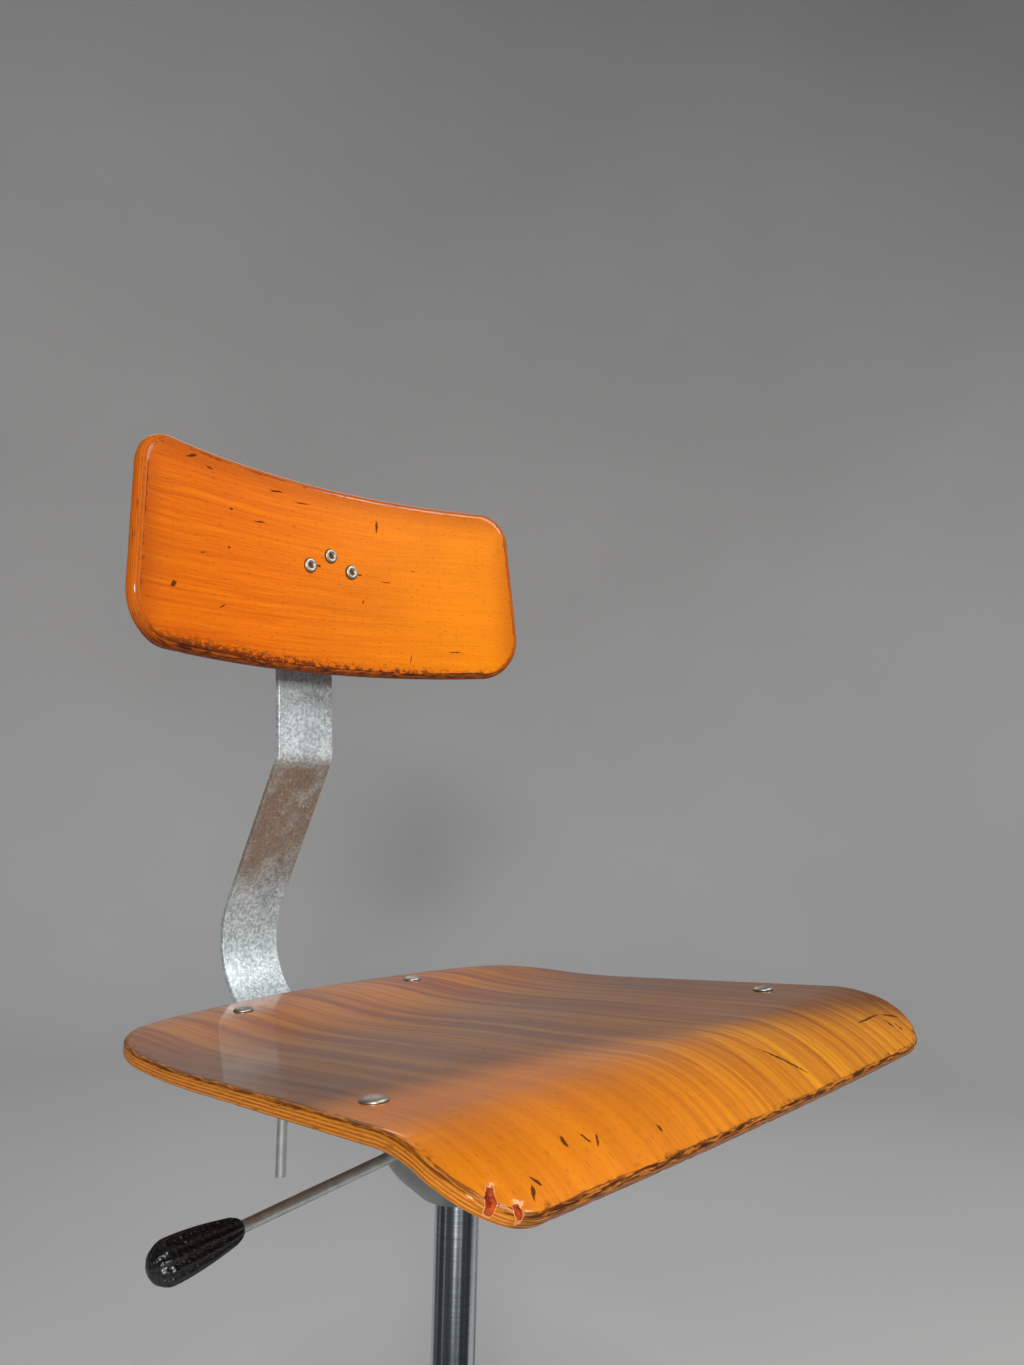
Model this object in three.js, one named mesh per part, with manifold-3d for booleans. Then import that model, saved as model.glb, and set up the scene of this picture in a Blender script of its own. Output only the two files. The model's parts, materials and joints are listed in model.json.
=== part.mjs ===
// Drafting chair: a bent-plywood seat and backrest on a gas column, with a four-star base and a foot ring.
//
// Units are millimetres. +Z is up, the origin is on the floor on the column's axis.
// The sitter looks along -Y, and +X is the sitter's left.

import * as THREE from "three";
import { mergeVertices } from "three/addons/utils/BufferGeometryUtils.js";
import Module from "manifold-3d";

const wasm = await Module();
wasm.setup();

// ---------------------------------------------------------------- driving dimensions

const FIT = 0.3; // gap between pieces that touch or slide
const WELD = 1; // room for the weld bead where a bar meets a curved face
const ROUND = 28; // facets round a turned piece
const SMALL_ROUND = 12; // facets round a screw, rivet or pin
const INNER_ROUND = 20; // facets round a turned piece that is shut inside another
const HALF_TURN = Math.PI;
const QUARTER_TURN = Math.PI / 2;

// Seat pressing
const SEAT_HEIGHT = 620; // height of the pan, the datum that everything under the seat hangs from
const SEAT_THICKNESS = 8.5;
const SEAT_EDGE = 2.4; // how far the rounded edges draw in
const SEAT_FRONT_HALF_WIDTH = 206;
const SEAT_REAR_HALF_WIDTH = 174.5;
const SEAT_FRONT_Y = -222;
const SEAT_REAR_Y = 167;
const SEAT_REAR_BOW = 9.5; // how far the middle of the rear edge stands out
const SEAT_FRONT_CORNER = 36;
const SEAT_REAR_CORNER = 92;
const SEAT_SLOPE = 0.11; // rise of the pan towards the knees
const SEAT_LIP_RADIUS = 90; // waterfall bend at the knees
const SEAT_LIP_Y = -163; // crest of the waterfall bend
const SEAT_PAN_Y = 10; // where the slope starts to flatten
const SEAT_PAN_RADIUS = 800; // hollow under the sitter
const SEAT_SIDE_LIFT = 2.5; // rise of the side edges
const SEAT_ROLL_Y = 110; // where the rear edge starts to roll down
const SEAT_ROLL_DROP = 3.5;

// Seat rivets
const FRONT_RIVET_INSET = 36; // from the seat's side edge
const FRONT_RIVET_X = SEAT_FRONT_HALF_WIDTH - FRONT_RIVET_INSET;
const FRONT_RIVET_Y = -118;
const REAR_RIVET_X = 75.5;
const REAR_RIVET_Y = 133.5;
const SEAT_RIVET_HEAD = 6.6; // head radius
const SEAT_RIVET_SHANK = 3;
const SEAT_RIVET_DOME = 2.2;

// Seat frame, which lies along the slope of the pan
const FRAME_SLOPE = 0.085; // tilt of the frame about X, radians
const CHANNEL_WALL = 3;
const CHANNEL_FRONT_Y = -128;
const CHANNEL_REAR_Y = 152;
const CHANNEL_END_DEPTH = 22;
const CROSSBAR_WIDTH = 30;
const CROSSBAR_THICKNESS = 4;
const CROSSBAR_FLAT = 22; // flat length on a rivet's inner side
const CROSSBAR_END = 12; // from a rivet to the crossbar's end

// Back strip
const STRIP_WIDTH = 50;
const STRIP_THICKNESS = 5;
const STRIP_SLIDE_FIT = 0.8; // side play in the channel
const CHANNEL_INSIDE = STRIP_WIDTH / 2 + STRIP_SLIDE_FIT; // half width
const CHANNEL_OUTSIDE = CHANNEL_INSIDE + CHANNEL_WALL; // half width
const CROSSBAR_OVERHANG = 5.2; // from the side of the channel to the crossbar's bend
const CROSSBAR_SEAT = CHANNEL_OUTSIDE + CROSSBAR_OVERHANG; // half length that lies on the channel
const STRIP_DROP = 33.8; // from the pan datum down to the strip's middle where the big bend starts
const STRIP_BEND_Y = 183.8; // where the big bend starts
const STRIP_BEND_RADIUS = 57;
const STRIP_RAKE = 27.3; // degrees that the middle stretch leans forward
const STRIP_RAKED_LENGTH = 126;
const STRIP_KNEE_RADIUS = 14;
const STRIP_TOP_LEAN = 4; // degrees that the upright stretch leans back
const STRIP_UPRIGHT_LENGTH = 176;
const STRIP_FRONT_Y = 26;
const STOP_Y = 40; // stop pin on the strip
const STOP_RADIUS = 4;
const STOP_HEIGHT = 5;
const GUIDE_BOLT_Y = 72;
const GUIDE_BOLT_RADIUS = 3;

// Strip clamp
const CLAMP_Y = 120;
const CLAMP_ROD_RADIUS = 3.5;
const CLAMP_ROD_CLEAR = 21.2; // from the side of the channel to the handle
const CLAMP_ROD_X = -CHANNEL_OUTSIDE - CLAMP_ROD_CLEAR; // where the handle hangs
const CLAMP_ROD_BEND = 9;
const CLAMP_ROD_DROP = 76; // length of the handle below its shaft
const CAM_RADIUS = 6;
const CAM_THROW = 1; // how far the cam stands out of centre

// Mechanism bowl
const BOWL_TOP_DROP = 55.6; // from the pan datum down to the bowl's rim
const BOWL_DEPTH = 49;
const BOWL_RADIUS = 49;
const BOWL_WALL = 2.5;
const BOWL_SHOULDER = 14; // bend between the wall and the cone
const BOWL_CONE_HEIGHT = 20;
const COVER_RADIUS = 52;
const COVER_THICKNESS = 3;
const SOCKET_WALL = 5.7;
const SOCKET_LIP = 3; // how far the socket shows below the bowl
const SOCKET_LENGTH = 26;
const BOWL_FLOOR_RIM = 5; // flat of the bowl round the socket

// Release lever
const LEVER_RADIUS = 3.4;
const LEVER_DROOP = 5.8; // degrees that the lever falls towards its grip
const LEVER_PIVOT_X = -24;
const LEVER_LENGTH = 160; // from the column's axis to where the grip begins
const LEVER_TONGUE_WIDTH = 10;
const LEVER_TONGUE_HEIGHT = 8.4;
const LEVER_TONGUE_LENGTH = 42;
const LEVER_PIN_RADIUS = 2.5;
const GRIP_LENGTH = 52;
const GRIP_NECK = 6.2; // radius at the narrow end
const GRIP_BELLY = 11.4; // radius at the fat end
const GRIP_SOCKET = 26;
const GRIP_FLUTES = 12;
const GRIP_FLUTE_DEPTH = 0.9;
const BRACKET_WALL = 3;
const BRACKET_LENGTH = 18;

// Gas spring
const TUBE_RADIUS = 14;
const TUBE_WALL = 1.8;
const TUBE_TOP_DROP = 73.4; // from the pan datum down to the end of the tube
const TUBE_LENGTH = 357;
const GLAND_HEIGHT = 18;
const VALVE_HEIGHT = 20;
const RELEASE_RADIUS = 2.5;
const RELEASE_LENGTH = 22;
const RELEASE_SHOW = 5; // how far the release pin stands out of the tube
const ROD_RADIUS = 5;
const ROD_NECK_RADIUS = 4;
const PISTON_HEIGHT = 12;
const PISTON_RISE = 110.4; // from the end of the tube up to the piston

// Base
const LEG_COUNT = 4;
const LEG_TIP = 320; // radius that the legs reach
const LEG_WIDTH = 26;
const LEG_ROOT_HEIGHT = 42;
const LEG_TIP_HEIGHT = 24;
const LEG_ROOT_Z = 66; // underside at the hub
const LEG_TIP_Z = 24; // underside at the tip
const LEG_EDGE = 3; // rounding of a leg's long edges
const GLIDE_RADIUS = 17;
const GLIDE_HEIGHT = 14;
const GLIDE_STEM_RADIUS = 5;
const GLIDE_STEM_LENGTH = 18;
const GLIDE_INSET = 18; // from a leg's tip to its glide
const HUB_BOTTOM_Z = 58;
const HUB_TOP_Z = 116;
const HUB_ROUND = 5;
const STAND_RADIUS = 25;
const HUB_WALL = 10;
const HUB_RADIUS = STAND_RADIUS + HUB_WALL;
const STAND_WALL = 2.2;
const STAND_BOTTOM_Z = 34;
const COLUMN_SHOWN = 156.1; // length of bare tube between the socket and the guide bush
const BUSH_LENGTH = 65;
const BUSH_FLANGE = 6;
const ANCHOR_THICKNESS = 6;
const ANCHOR_Z = 42;
const THRUST_HEIGHT = 6;
const BUMPER_HEIGHT = 16;
const CLIP_THICKNESS = 2.5;

// Foot ring
const RING_RADIUS = 200;
const RING_TUBE_RADIUS = 10;
const RING_Z = 235;
const RING_SPOKES = 3;
const SPOKE_RADIUS = 6;
const SPOKE_FROM = 30; // azimuth of the first spoke, degrees
const COLLAR_WALL = 8;
const COLLAR_RADIUS = STAND_RADIUS + COLLAR_WALL;
const COLLAR_HEIGHT = 40;
const RING_SCREW_RADIUS = 4;
const RING_SCREW_REACH = 16; // from the collar to the knob
const RING_KNOB_RADIUS = 19;
const RING_KNOB_LENGTH = 20;
const KNOB_LOBES = 5;
const KNOB_LOBE_DEPTH = 0.1; // share of the radius that a finger hollow takes

// Backrest board
const BACK_FACE_Y = 154.4;
const BACK_RISE = 296; // from the pan datum up to the board's middle
const BACK_LEAN = 4.8; // degrees
const BACK_RADIUS = 490; // hollow across the sitter's back
const BACK_THICKNESS = 11;
const BACK_EDGE = 3; // how far the rounded edges draw in
const BACK_TOP_HALF_WIDTH = 168.7;
const BACK_BOTTOM_HALF_WIDTH = 179.6;
const BACK_TOP_H = 77.2;
const BACK_BOTTOM_H = -64.3;
const BACK_TOP_CORNER = 23;
const BACK_BOTTOM_CORNER = 38;
const BACK_TOP_SAG = 1.8;
const BACK_BOTTOM_BOW = 3.8;
const BACK_RIVETS = [
  [-19.3, 12],
  [0, 22],
  [19.3, 12],
]; // across, up
const BACK_RIVET_HEAD = 5.2;
const BACK_RIVET_SHANK = 3;
const BACK_RIVET_BORE = 1.9;
const BACK_RIVET_RIM = 1.2;

// Bracket plate, hinge and height slider behind the board
const PLATE_THICKNESS = 2.5;
const PLATE_HALF_WIDTH = 37;
const PLATE_TOP_H = 36;
const PLATE_BOTTOM_H = -66.5;
const HINGE_H = -10; // height of the tilt hinge on the board
const HINGE_BACKSET = 20; // from the board's front face to the hinge pin
const HINGE_KNUCKLE_RADIUS = 4.2;
const HINGE_PIN_RADIUS = 2;
const HINGE_CARRIER_HALF = 14; // half length of the middle knuckle
const HINGE_OUTER_LENGTH = 14;
const SLEEVE_WALL = 3;
const SLEEVE_HEIGHT = 60;
const SLEEVE_FIT = 0.4;
const BACK_SCREW_RADIUS = 4;
const BACK_SCREW_REACH = 14;
const BACK_KNOB_RADIUS = 18;
const BACK_KNOB_LENGTH = 18;

// ---------------------------------------------------------------- materials

const FINISHES = {
  seatPly: { color: 0xb9692a, roughness: 0.35, metalness: 0 },
  backPly: { color: 0xd9811f, roughness: 0.35, metalness: 0 },
  galvanised: { color: 0xa8adb0, roughness: 0.42, metalness: 0.9 },
  zincPlated: { color: 0xb8babc, roughness: 0.35, metalness: 0.9 },
  chrome: { color: 0xd8dadc, roughness: 0.12, metalness: 1 },
  grayEnamel: { color: 0x6b7072, roughness: 0.45, metalness: 0.2 },
  blackEnamel: { color: 0x18191a, roughness: 0.4, metalness: 0.2 },
  blackPlastic: { color: 0x111214, roughness: 0.3, metalness: 0 },
  nylon: { color: 0x1c1c1d, roughness: 0.6, metalness: 0 },
  rubber: { color: 0x151515, roughness: 0.85, metalness: 0 },
};

// ---------------------------------------------------------------- helpers

const degrees = (angle) => (angle * Math.PI) / 180;

// A named mesh with its own material, put into a group.
function place(group, name, geometry, finish) {
  const material = new THREE.MeshStandardMaterial(FINISHES[finish]);
  const mesh = new THREE.Mesh(geometry, material);
  mesh.name = name;
  group.add(mesh);
  return mesh;
}

// A closed manifold body from a three.js geometry.
function solidOf(geometry) {
  const bare = geometry.clone();
  bare.deleteAttribute("normal");
  bare.deleteAttribute("uv");
  const merged = mergeVertices(bare, 1e-4);
  return new wasm.Manifold(
    new wasm.Mesh({
      numProp: 3,
      vertProperties: new Float32Array(merged.attributes.position.array),
      triVerts: new Uint32Array(merged.index.array),
    }),
  );
}

function geometryOf(solid) {
  const mesh = solid.getMesh();
  const geometry = new THREE.BufferGeometry();
  geometry.setAttribute("position", new THREE.BufferAttribute(mesh.vertProperties, 3));
  geometry.setIndex(new THREE.BufferAttribute(mesh.triVerts, 1));
  geometry.computeVertexNormals();
  return geometry;
}

function joined(...geometries) {
  return geometryOf(geometries.map(solidOf).reduce((sum, next) => sum.add(next)));
}

function cut(geometry, ...tools) {
  return geometryOf(tools.map(solidOf).reduce((left, tool) => left.subtract(tool), solidOf(geometry)));
}

// A body turned about Z from [radius, height] points.
function turned(points, facets = ROUND) {
  const profile = points.map(([radius, height]) => new THREE.Vector2(radius, height));
  return new THREE.LatheGeometry(profile, facets).rotateX(QUARTER_TURN);
}

// A ring of rectangular section about Z.
function ring(inner, outer, bottom, top, facets = ROUND) {
  const corners = [
    [inner, bottom],
    [outer, bottom],
    [outer, top],
    [inner, top],
    [inner, bottom],
  ];
  return turned(corners, facets);
}

// A round bar along Z.
function bar(radius, bottom, top, facets = SMALL_ROUND) {
  const length = top - bottom;
  return new THREE.CylinderGeometry(radius, radius, length, facets)
    .rotateX(QUARTER_TURN)
    .translate(0, 0, bottom + length / 2);
}

// A box given by its three ranges.
function block([x0, x1], [y0, y1], [z0, z1]) {
  return new THREE.BoxGeometry(x1 - x0, y1 - y0, z1 - z0).translate((x0 + x1) / 2, (y0 + y1) / 2, (z0 + z1) / 2);
}

// A flat side view, given as [y, z] points, made `width` thick across X.
function acrossX(points, width) {
  const outline = new THREE.Shape(points.map(([y, z]) => new THREE.Vector2(y, z)));
  return new THREE.ExtrudeGeometry(outline, { depth: width, bevelEnabled: false })
    .rotateX(QUARTER_TURN)
    .rotateZ(QUARTER_TURN)
    .translate(-width / 2, 0, 0);
}

// A flat front view, given as [x, z] points, made `width` thick across Y.
function acrossY(points, width) {
  const outline = new THREE.Shape(points.map(([x, z]) => new THREE.Vector2(x, z)));
  return new THREE.ExtrudeGeometry(outline, { depth: width, bevelEnabled: false })
    .rotateX(QUARTER_TURN)
    .translate(0, width / 2, 0);
}

// The middle line of a bent strip: straight runs and arcs that follow on from each other.
// Each step is { run: length } or { bend: degrees to the left, radius }.
function bentLine(start, heading, steps) {
  const arcStep = degrees(6);
  const line = [];
  let [y, z] = start;
  let angle = degrees(heading);
  const mark = () => line.push({ y, z, angle });
  mark();
  for (const step of steps) {
    if (step.run !== undefined) {
      y += step.run * Math.cos(angle);
      z += step.run * Math.sin(angle);
      mark();
      continue;
    }
    const turn = degrees(step.bend);
    const pieces = Math.ceil(Math.abs(turn) / arcStep);
    const chord = 2 * step.radius * Math.sin(Math.abs(turn) / pieces / 2);
    for (let i = 0; i < pieces; i++) {
      angle += turn / pieces / 2;
      y += chord * Math.cos(angle);
      z += chord * Math.sin(angle);
      angle += turn / pieces / 2;
      mark();
    }
  }
  return line;
}

// The closed outline of a strip of even thickness laid along a middle line.
function thickened(line, thickness) {
  const side = (offset) =>
    line.map(({ y, z, angle }) => [y - offset * Math.sin(angle), z + offset * Math.cos(angle)]);
  return [...side(-thickness / 2), ...side(thickness / 2).reverse()];
}

// A rivet or pin along Z whose ends are wider than its shank. z = 0 is the seat of the upper head.
function headedPin({ shank, head, dome, length, tail, tailHeight }) {
  const profile = [
    [0, -length - tailHeight],
    [tail * 0.8, -length - tailHeight],
    [tail, -length - tailHeight / 2],
    [tail, -length],
    [shank, -length],
    [shank, 0],
    [head, 0],
    [head * 0.92, dome * 0.45],
    [head * 0.6, dome * 0.85],
    [0, dome],
  ];
  return turned(profile, SMALL_ROUND);
}

// A lobed hand knob along Z, from z = 0 outwards, with a blind socket for its screw.
function lobedKnob(radius, length, socketRadius, socketDepth) {
  const knob = new THREE.Shape();
  const points = KNOB_LOBES * 6;
  for (let i = 0; i < points; i++) {
    const angle = (i / points) * 2 * HALF_TURN;
    const hollow = KNOB_LOBE_DEPTH * (1 - Math.cos(KNOB_LOBES * angle)) * 0.5;
    const reach = radius * (1 - hollow);
    const move = i === 0 ? "moveTo" : "lineTo";
    knob[move](reach * Math.cos(angle), reach * Math.sin(angle));
  }
  const bevel = 1.5;
  const body = new THREE.ExtrudeGeometry(knob, {
    depth: length - 2 * bevel,
    bevelThickness: bevel,
    bevelSize: bevel,
    bevelOffset: -bevel,
    bevelSegments: 2,
    curveSegments: 1,
  }).translate(0, 0, bevel);
  return cut(body, bar(socketRadius, -1, socketDepth));
}

// A curved sheet of even thickness with softened edges. `edge` maps u, v in -1..1 to the sheet's own
// coordinates, `face` maps those to a point on the upper face, and the sheet lies below it.
function pressedSheet(columns, rows, { thickness, soft, edge, face }) {
  const layers = 3;
  const sheet = new THREE.BoxGeometry(2, 2, 2, columns, rows, layers);
  const place = sheet.attributes.position;
  const probe = 0.5;
  const [halfA] = edge(1, 0);
  const [, lowB] = edge(0, -1);
  const [, highB] = edge(0, 1);
  const middleB = (lowB + highB) / 2;
  const halfB = (highB - lowB) / 2;
  for (let i = 0; i < place.count; i++) {
    const level = place.getZ(i);
    const inset = Math.abs(level) > 0.9 ? soft : 0;
    const [onA, onB] = edge(place.getX(i), place.getY(i));
    const a = onA * (1 - inset / halfA);
    const b = middleB + (onB - middleB) * (1 - inset / halfB);
    const point = face(a, b);
    const alongA = face(a + probe, b).sub(face(a - probe, b));
    const alongB = face(a, b + probe).sub(face(a, b - probe));
    const normal = alongA.cross(alongB).normalize();
    const depth = (thickness * (1 - level)) / 2;
    point.addScaledVector(normal, -depth);
    place.setXYZ(i, point.x, point.y, point.z);
  }
  return sheet;
}

// Where one row of a round-cornered outline lies: its distance along, 0..1, and how far its end is drawn in.
// `t` runs 0..1 over the rows, and the corners take the shares `first` and `last` of the rows.
function cornerRow(t, length, first, last) {
  const share = 0.24;
  if (t < share) {
    const angle = (t / share) * QUARTER_TURN;
    return { along: first * (1 - Math.cos(angle)), inset: first * (1 - Math.sin(angle)) };
  }
  if (t > 1 - share) {
    const angle = ((1 - t) / share) * QUARTER_TURN;
    return { along: length - last * (1 - Math.cos(angle)), inset: last * (1 - Math.sin(angle)) };
  }
  const middle = (t - share) / (1 - 2 * share);
  return { along: first + middle * (length - first - last), inset: 0 };
}

// ---------------------------------------------------------------- seat pressing

// Height of the seat's upper face over the floor.
function seatZ(x, y) {
  const slopeAngle = Math.atan(SEAT_SLOPE);
  const lipJoinY = SEAT_LIP_Y + SEAT_LIP_RADIUS * Math.sin(slopeAngle);
  const panEndY = SEAT_PAN_Y + SEAT_PAN_RADIUS * SEAT_SLOPE;
  const onSlope = (at) => -SEAT_SLOPE * (at - SEAT_PAN_Y);
  const lipTop = onSlope(lipJoinY) + SEAT_LIP_RADIUS * (1 - Math.cos(slopeAngle));
  let z = onSlope(y);
  if (y < lipJoinY) {
    const reach = Math.min(SEAT_LIP_Y - y, SEAT_LIP_RADIUS * 0.95);
    z = lipTop - SEAT_LIP_RADIUS + Math.sqrt(SEAT_LIP_RADIUS ** 2 - reach ** 2);
  }
  if (y > SEAT_PAN_Y) {
    const into = Math.min(y, panEndY) - SEAT_PAN_Y;
    z = -SEAT_SLOPE * into + into ** 2 / (2 * SEAT_PAN_RADIUS);
  }
  const side = (x / SEAT_FRONT_HALF_WIDTH) ** 2;
  const roll = Math.max(0, y - SEAT_ROLL_Y) / (SEAT_REAR_Y - SEAT_ROLL_Y);
  return SEAT_HEIGHT + z + SEAT_SIDE_LIFT * side - SEAT_ROLL_DROP * roll ** 2 * (1 + 2 * side);
}

// How far the seat's upper face leans from front to rear, as an angle about X.
function seatPitch(x, y) {
  return Math.atan((seatZ(x, y + 1) - seatZ(x, y - 1)) / 2);
}

function seatEdge(u, v) {
  const length = SEAT_REAR_Y - SEAT_FRONT_Y;
  const { along, inset } = cornerRow((v + 1) / 2, length, SEAT_FRONT_CORNER, SEAT_REAR_CORNER);
  const share = along / length;
  const halfWidth = SEAT_FRONT_HALF_WIDTH + (SEAT_REAR_HALF_WIDTH - SEAT_FRONT_HALF_WIDTH) * share - inset;
  const bow = SEAT_REAR_BOW * share ** 4 * (1 - u ** 2);
  return [u * halfWidth, SEAT_FRONT_Y + along + bow];
}

const SEAT_RIVET_PLACES = [
  { name: "seat_rivet_front_right", x: -FRONT_RIVET_X, y: FRONT_RIVET_Y },
  { name: "seat_rivet_front_left", x: FRONT_RIVET_X, y: FRONT_RIVET_Y },
  { name: "seat_rivet_rear_right", x: -REAR_RIVET_X, y: REAR_RIVET_Y },
  { name: "seat_rivet_rear_left", x: REAR_RIVET_X, y: REAR_RIVET_Y },
];

// Puts a piece made about the origin onto the seat's face, square to it.
function ontoSeat(geometry, x, y) {
  return geometry.rotateX(seatPitch(x, y)).translate(x, y, seatZ(x, y));
}

function seatShell() {
  const face = (x, y) => new THREE.Vector3(x, y, seatZ(x, y));
  const sheet = pressedSheet(16, 26, { thickness: SEAT_THICKNESS, soft: SEAT_EDGE, edge: seatEdge, face });
  const holes = SEAT_RIVET_PLACES.map(({ x, y }) =>
    ontoSeat(bar(SEAT_RIVET_SHANK + FIT, -3 * SEAT_THICKNESS, SEAT_THICKNESS), x, y),
  );
  return cut(sheet, ...holes);
}

// Depth of a cross bar's upper face below the seat's upper face, measured square to the face.
const BAR_DEPTH = SEAT_THICKNESS + 1;

function seatRivet({ x, y }) {
  const grip = BAR_DEPTH + CROSSBAR_THICKNESS + 2 * FIT;
  const rivet = headedPin({
    shank: SEAT_RIVET_SHANK,
    head: SEAT_RIVET_HEAD,
    dome: SEAT_RIVET_DOME,
    length: grip + FIT,
    tail: SEAT_RIVET_SHANK * 1.7,
    tailHeight: SEAT_RIVET_DOME,
  }).translate(0, 0, FIT);
  return ontoSeat(rivet, x, y);
}

// ---------------------------------------------------------------- seat frame

// Height of the strip's middle line where it runs under the seat, at a given y.
function stripZ(y) {
  return SEAT_HEIGHT - STRIP_DROP + (STRIP_BEND_Y - y) * Math.tan(FRAME_SLOPE);
}


function channelUnderside(y) {
  return stripZ(y) + (STRIP_THICKNESS / 2 + FIT) / Math.cos(FRAME_SLOPE);
}

function channelTop(y) {
  return channelUnderside(y) + CHANNEL_WALL / Math.cos(FRAME_SLOPE);
}

const COVER_TOP_Z = SEAT_HEIGHT - BOWL_TOP_DROP + FIT + COVER_THICKNESS;

// A U-shaped pressing, open below, whose side walls are deepest where they stand on the bowl's cover.
function centreChannel() {
  const footZ = COVER_TOP_Z + FIT;
  const footHalf = COVER_RADIUS * 0.8;
  const clampFloor = stripZ(CLAMP_Y) - STRIP_THICKNESS / 2 - 2 * CAM_RADIUS - 6;
  const side = [
    [CHANNEL_FRONT_Y, channelTop(CHANNEL_FRONT_Y) - CHANNEL_END_DEPTH],
    [-footHalf, footZ],
    [footHalf, footZ],
    [CLAMP_Y - 20, clampFloor],
    [CLAMP_Y + 12, clampFloor],
    [CHANNEL_REAR_Y, channelTop(CHANNEL_REAR_Y) - CHANNEL_END_DEPTH],
    [CHANNEL_REAR_Y, channelTop(CHANNEL_REAR_Y)],
    [CHANNEL_FRONT_Y, channelTop(CHANNEL_FRONT_Y)],
  ];
  const past = 10;
  const hollow = [
    [CHANNEL_FRONT_Y - past, footZ - 60],
    [CHANNEL_REAR_Y + past, footZ - 60],
    [CHANNEL_REAR_Y + past, channelUnderside(CHANNEL_REAR_Y + past)],
    [CHANNEL_FRONT_Y - past, channelUnderside(CHANNEL_FRONT_Y - past)],
  ];
  const across = CHANNEL_OUTSIDE + past;
  const crossHole = (radius, y, z) => bar(radius + FIT, -across, across).rotateY(QUARTER_TURN).translate(0, y, z);
  return cut(
    acrossX(side, 2 * CHANNEL_OUTSIDE),
    acrossX(hollow, 2 * CHANNEL_INSIDE),
    crossHole(CLAMP_ROD_RADIUS, CLAMP_Y, CLAMP_SHAFT_Z),
    crossHole(GUIDE_BOLT_RADIUS, GUIDE_BOLT_Y, GUIDE_BOLT_Z),
  );
}

const STRIP_HALF_DEPTH = STRIP_THICKNESS / 2 / Math.cos(FRAME_SLOPE);
const CLAMP_SHAFT_Z = stripZ(CLAMP_Y) - STRIP_HALF_DEPTH - FIT - CAM_RADIUS;
const GUIDE_BOLT_Z = stripZ(GUIDE_BOLT_Y) - STRIP_HALF_DEPTH - FIT - GUIDE_BOLT_RADIUS;

// A flat bar across the frame: it lies on the channel, steps up, and ends flat under two seat rivets.
function crossbar(rivetX, rivetY) {
  const pitch = seatPitch(rivetX, rivetY);
  const halfSpan = CROSSBAR_WIDTH / 2;
  const lift = Math.abs(Math.tan(FRAME_SLOPE + pitch)) * halfSpan;
  const seatFace = seatZ(rivetX, rivetY);
  const channelRest = channelTop(rivetY) + FIT + lift - seatFace + CROSSBAR_THICKNESS;
  const end = rivetX + CROSSBAR_END;
  const knee = rivetX - CROSSBAR_FLAT;
  const upper = [
    [-end, -BAR_DEPTH],
    [-knee, -BAR_DEPTH],
    [-CROSSBAR_SEAT, channelRest],
    [CROSSBAR_SEAT, channelRest],
    [knee, -BAR_DEPTH],
    [end, -BAR_DEPTH],
  ];
  const lower = [...upper].reverse().map(([x, z]) => [x, z - CROSSBAR_THICKNESS]);
  const flat = acrossY([...lower, ...upper], CROSSBAR_WIDTH);
  const hole = bar(SEAT_RIVET_SHANK + FIT, -BAR_DEPTH - 2 * CROSSBAR_THICKNESS, 0);
  const drilled = cut(flat, hole.clone().translate(-rivetX, 0, 0), hole.clone().translate(rivetX, 0, 0));
  return drilled.rotateX(pitch).translate(0, rivetY, seatFace);
}

// A cross bolt under the strip, with a head outside each wall of the channel.
function guideBolt() {
  const wallFace = CHANNEL_OUTSIDE + FIT;
  return headedPin({
    shank: GUIDE_BOLT_RADIUS,
    head: GUIDE_BOLT_RADIUS * 1.8,
    dome: GUIDE_BOLT_RADIUS * 0.9,
    length: 2 * wallFace,
    tail: GUIDE_BOLT_RADIUS * 1.8,
    tailHeight: GUIDE_BOLT_RADIUS * 0.9,
  })
    .translate(0, 0, wallFace)
    .rotateY(QUARTER_TURN)
    .translate(0, GUIDE_BOLT_Y, GUIDE_BOLT_Z);
}

// ---------------------------------------------------------------- mechanism bowl

const BOWL_TOP_Z = SEAT_HEIGHT - BOWL_TOP_DROP;
const BOWL_FLOOR_Z = BOWL_TOP_Z - BOWL_DEPTH;
const SOCKET_BORE = TUBE_RADIUS + FIT;
const SOCKET_RADIUS = SOCKET_BORE + SOCKET_WALL;
const BOWL_FLOOR_RADIUS = SOCKET_RADIUS + BOWL_FLOOR_RIM;

function bowlCover() {
  return turned(
    [
      [0, BOWL_TOP_Z + FIT],
      [COVER_RADIUS - 1, BOWL_TOP_Z + FIT],
      [COVER_RADIUS, BOWL_TOP_Z + FIT + 1],
      [COVER_RADIUS, COVER_TOP_Z - 1],
      [COVER_RADIUS - 1, COVER_TOP_Z],
      [0, COVER_TOP_Z],
    ],
    ROUND,
  );
}

// One side of the bowl's wall, from its rim down to its floor, drawn in by `inside`.
function bowlWall(inside) {
  const wall = BOWL_RADIUS - inside;
  const floor = BOWL_FLOOR_RADIUS - inside;
  const coneTop = BOWL_FLOOR_Z + BOWL_CONE_HEIGHT + inside;
  const bend = new THREE.QuadraticBezierCurve(
    new THREE.Vector2(wall, coneTop + BOWL_SHOULDER),
    new THREE.Vector2(wall, coneTop),
    new THREE.Vector2(wall - BOWL_SHOULDER, coneTop - BOWL_SHOULDER * 0.8),
  );
  const curve = bend.getPoints(4).map(({ x, y }) => [x, y]);
  return [[wall, BOWL_TOP_Z], ...curve, [floor, BOWL_FLOOR_Z + inside]];
}

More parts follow.
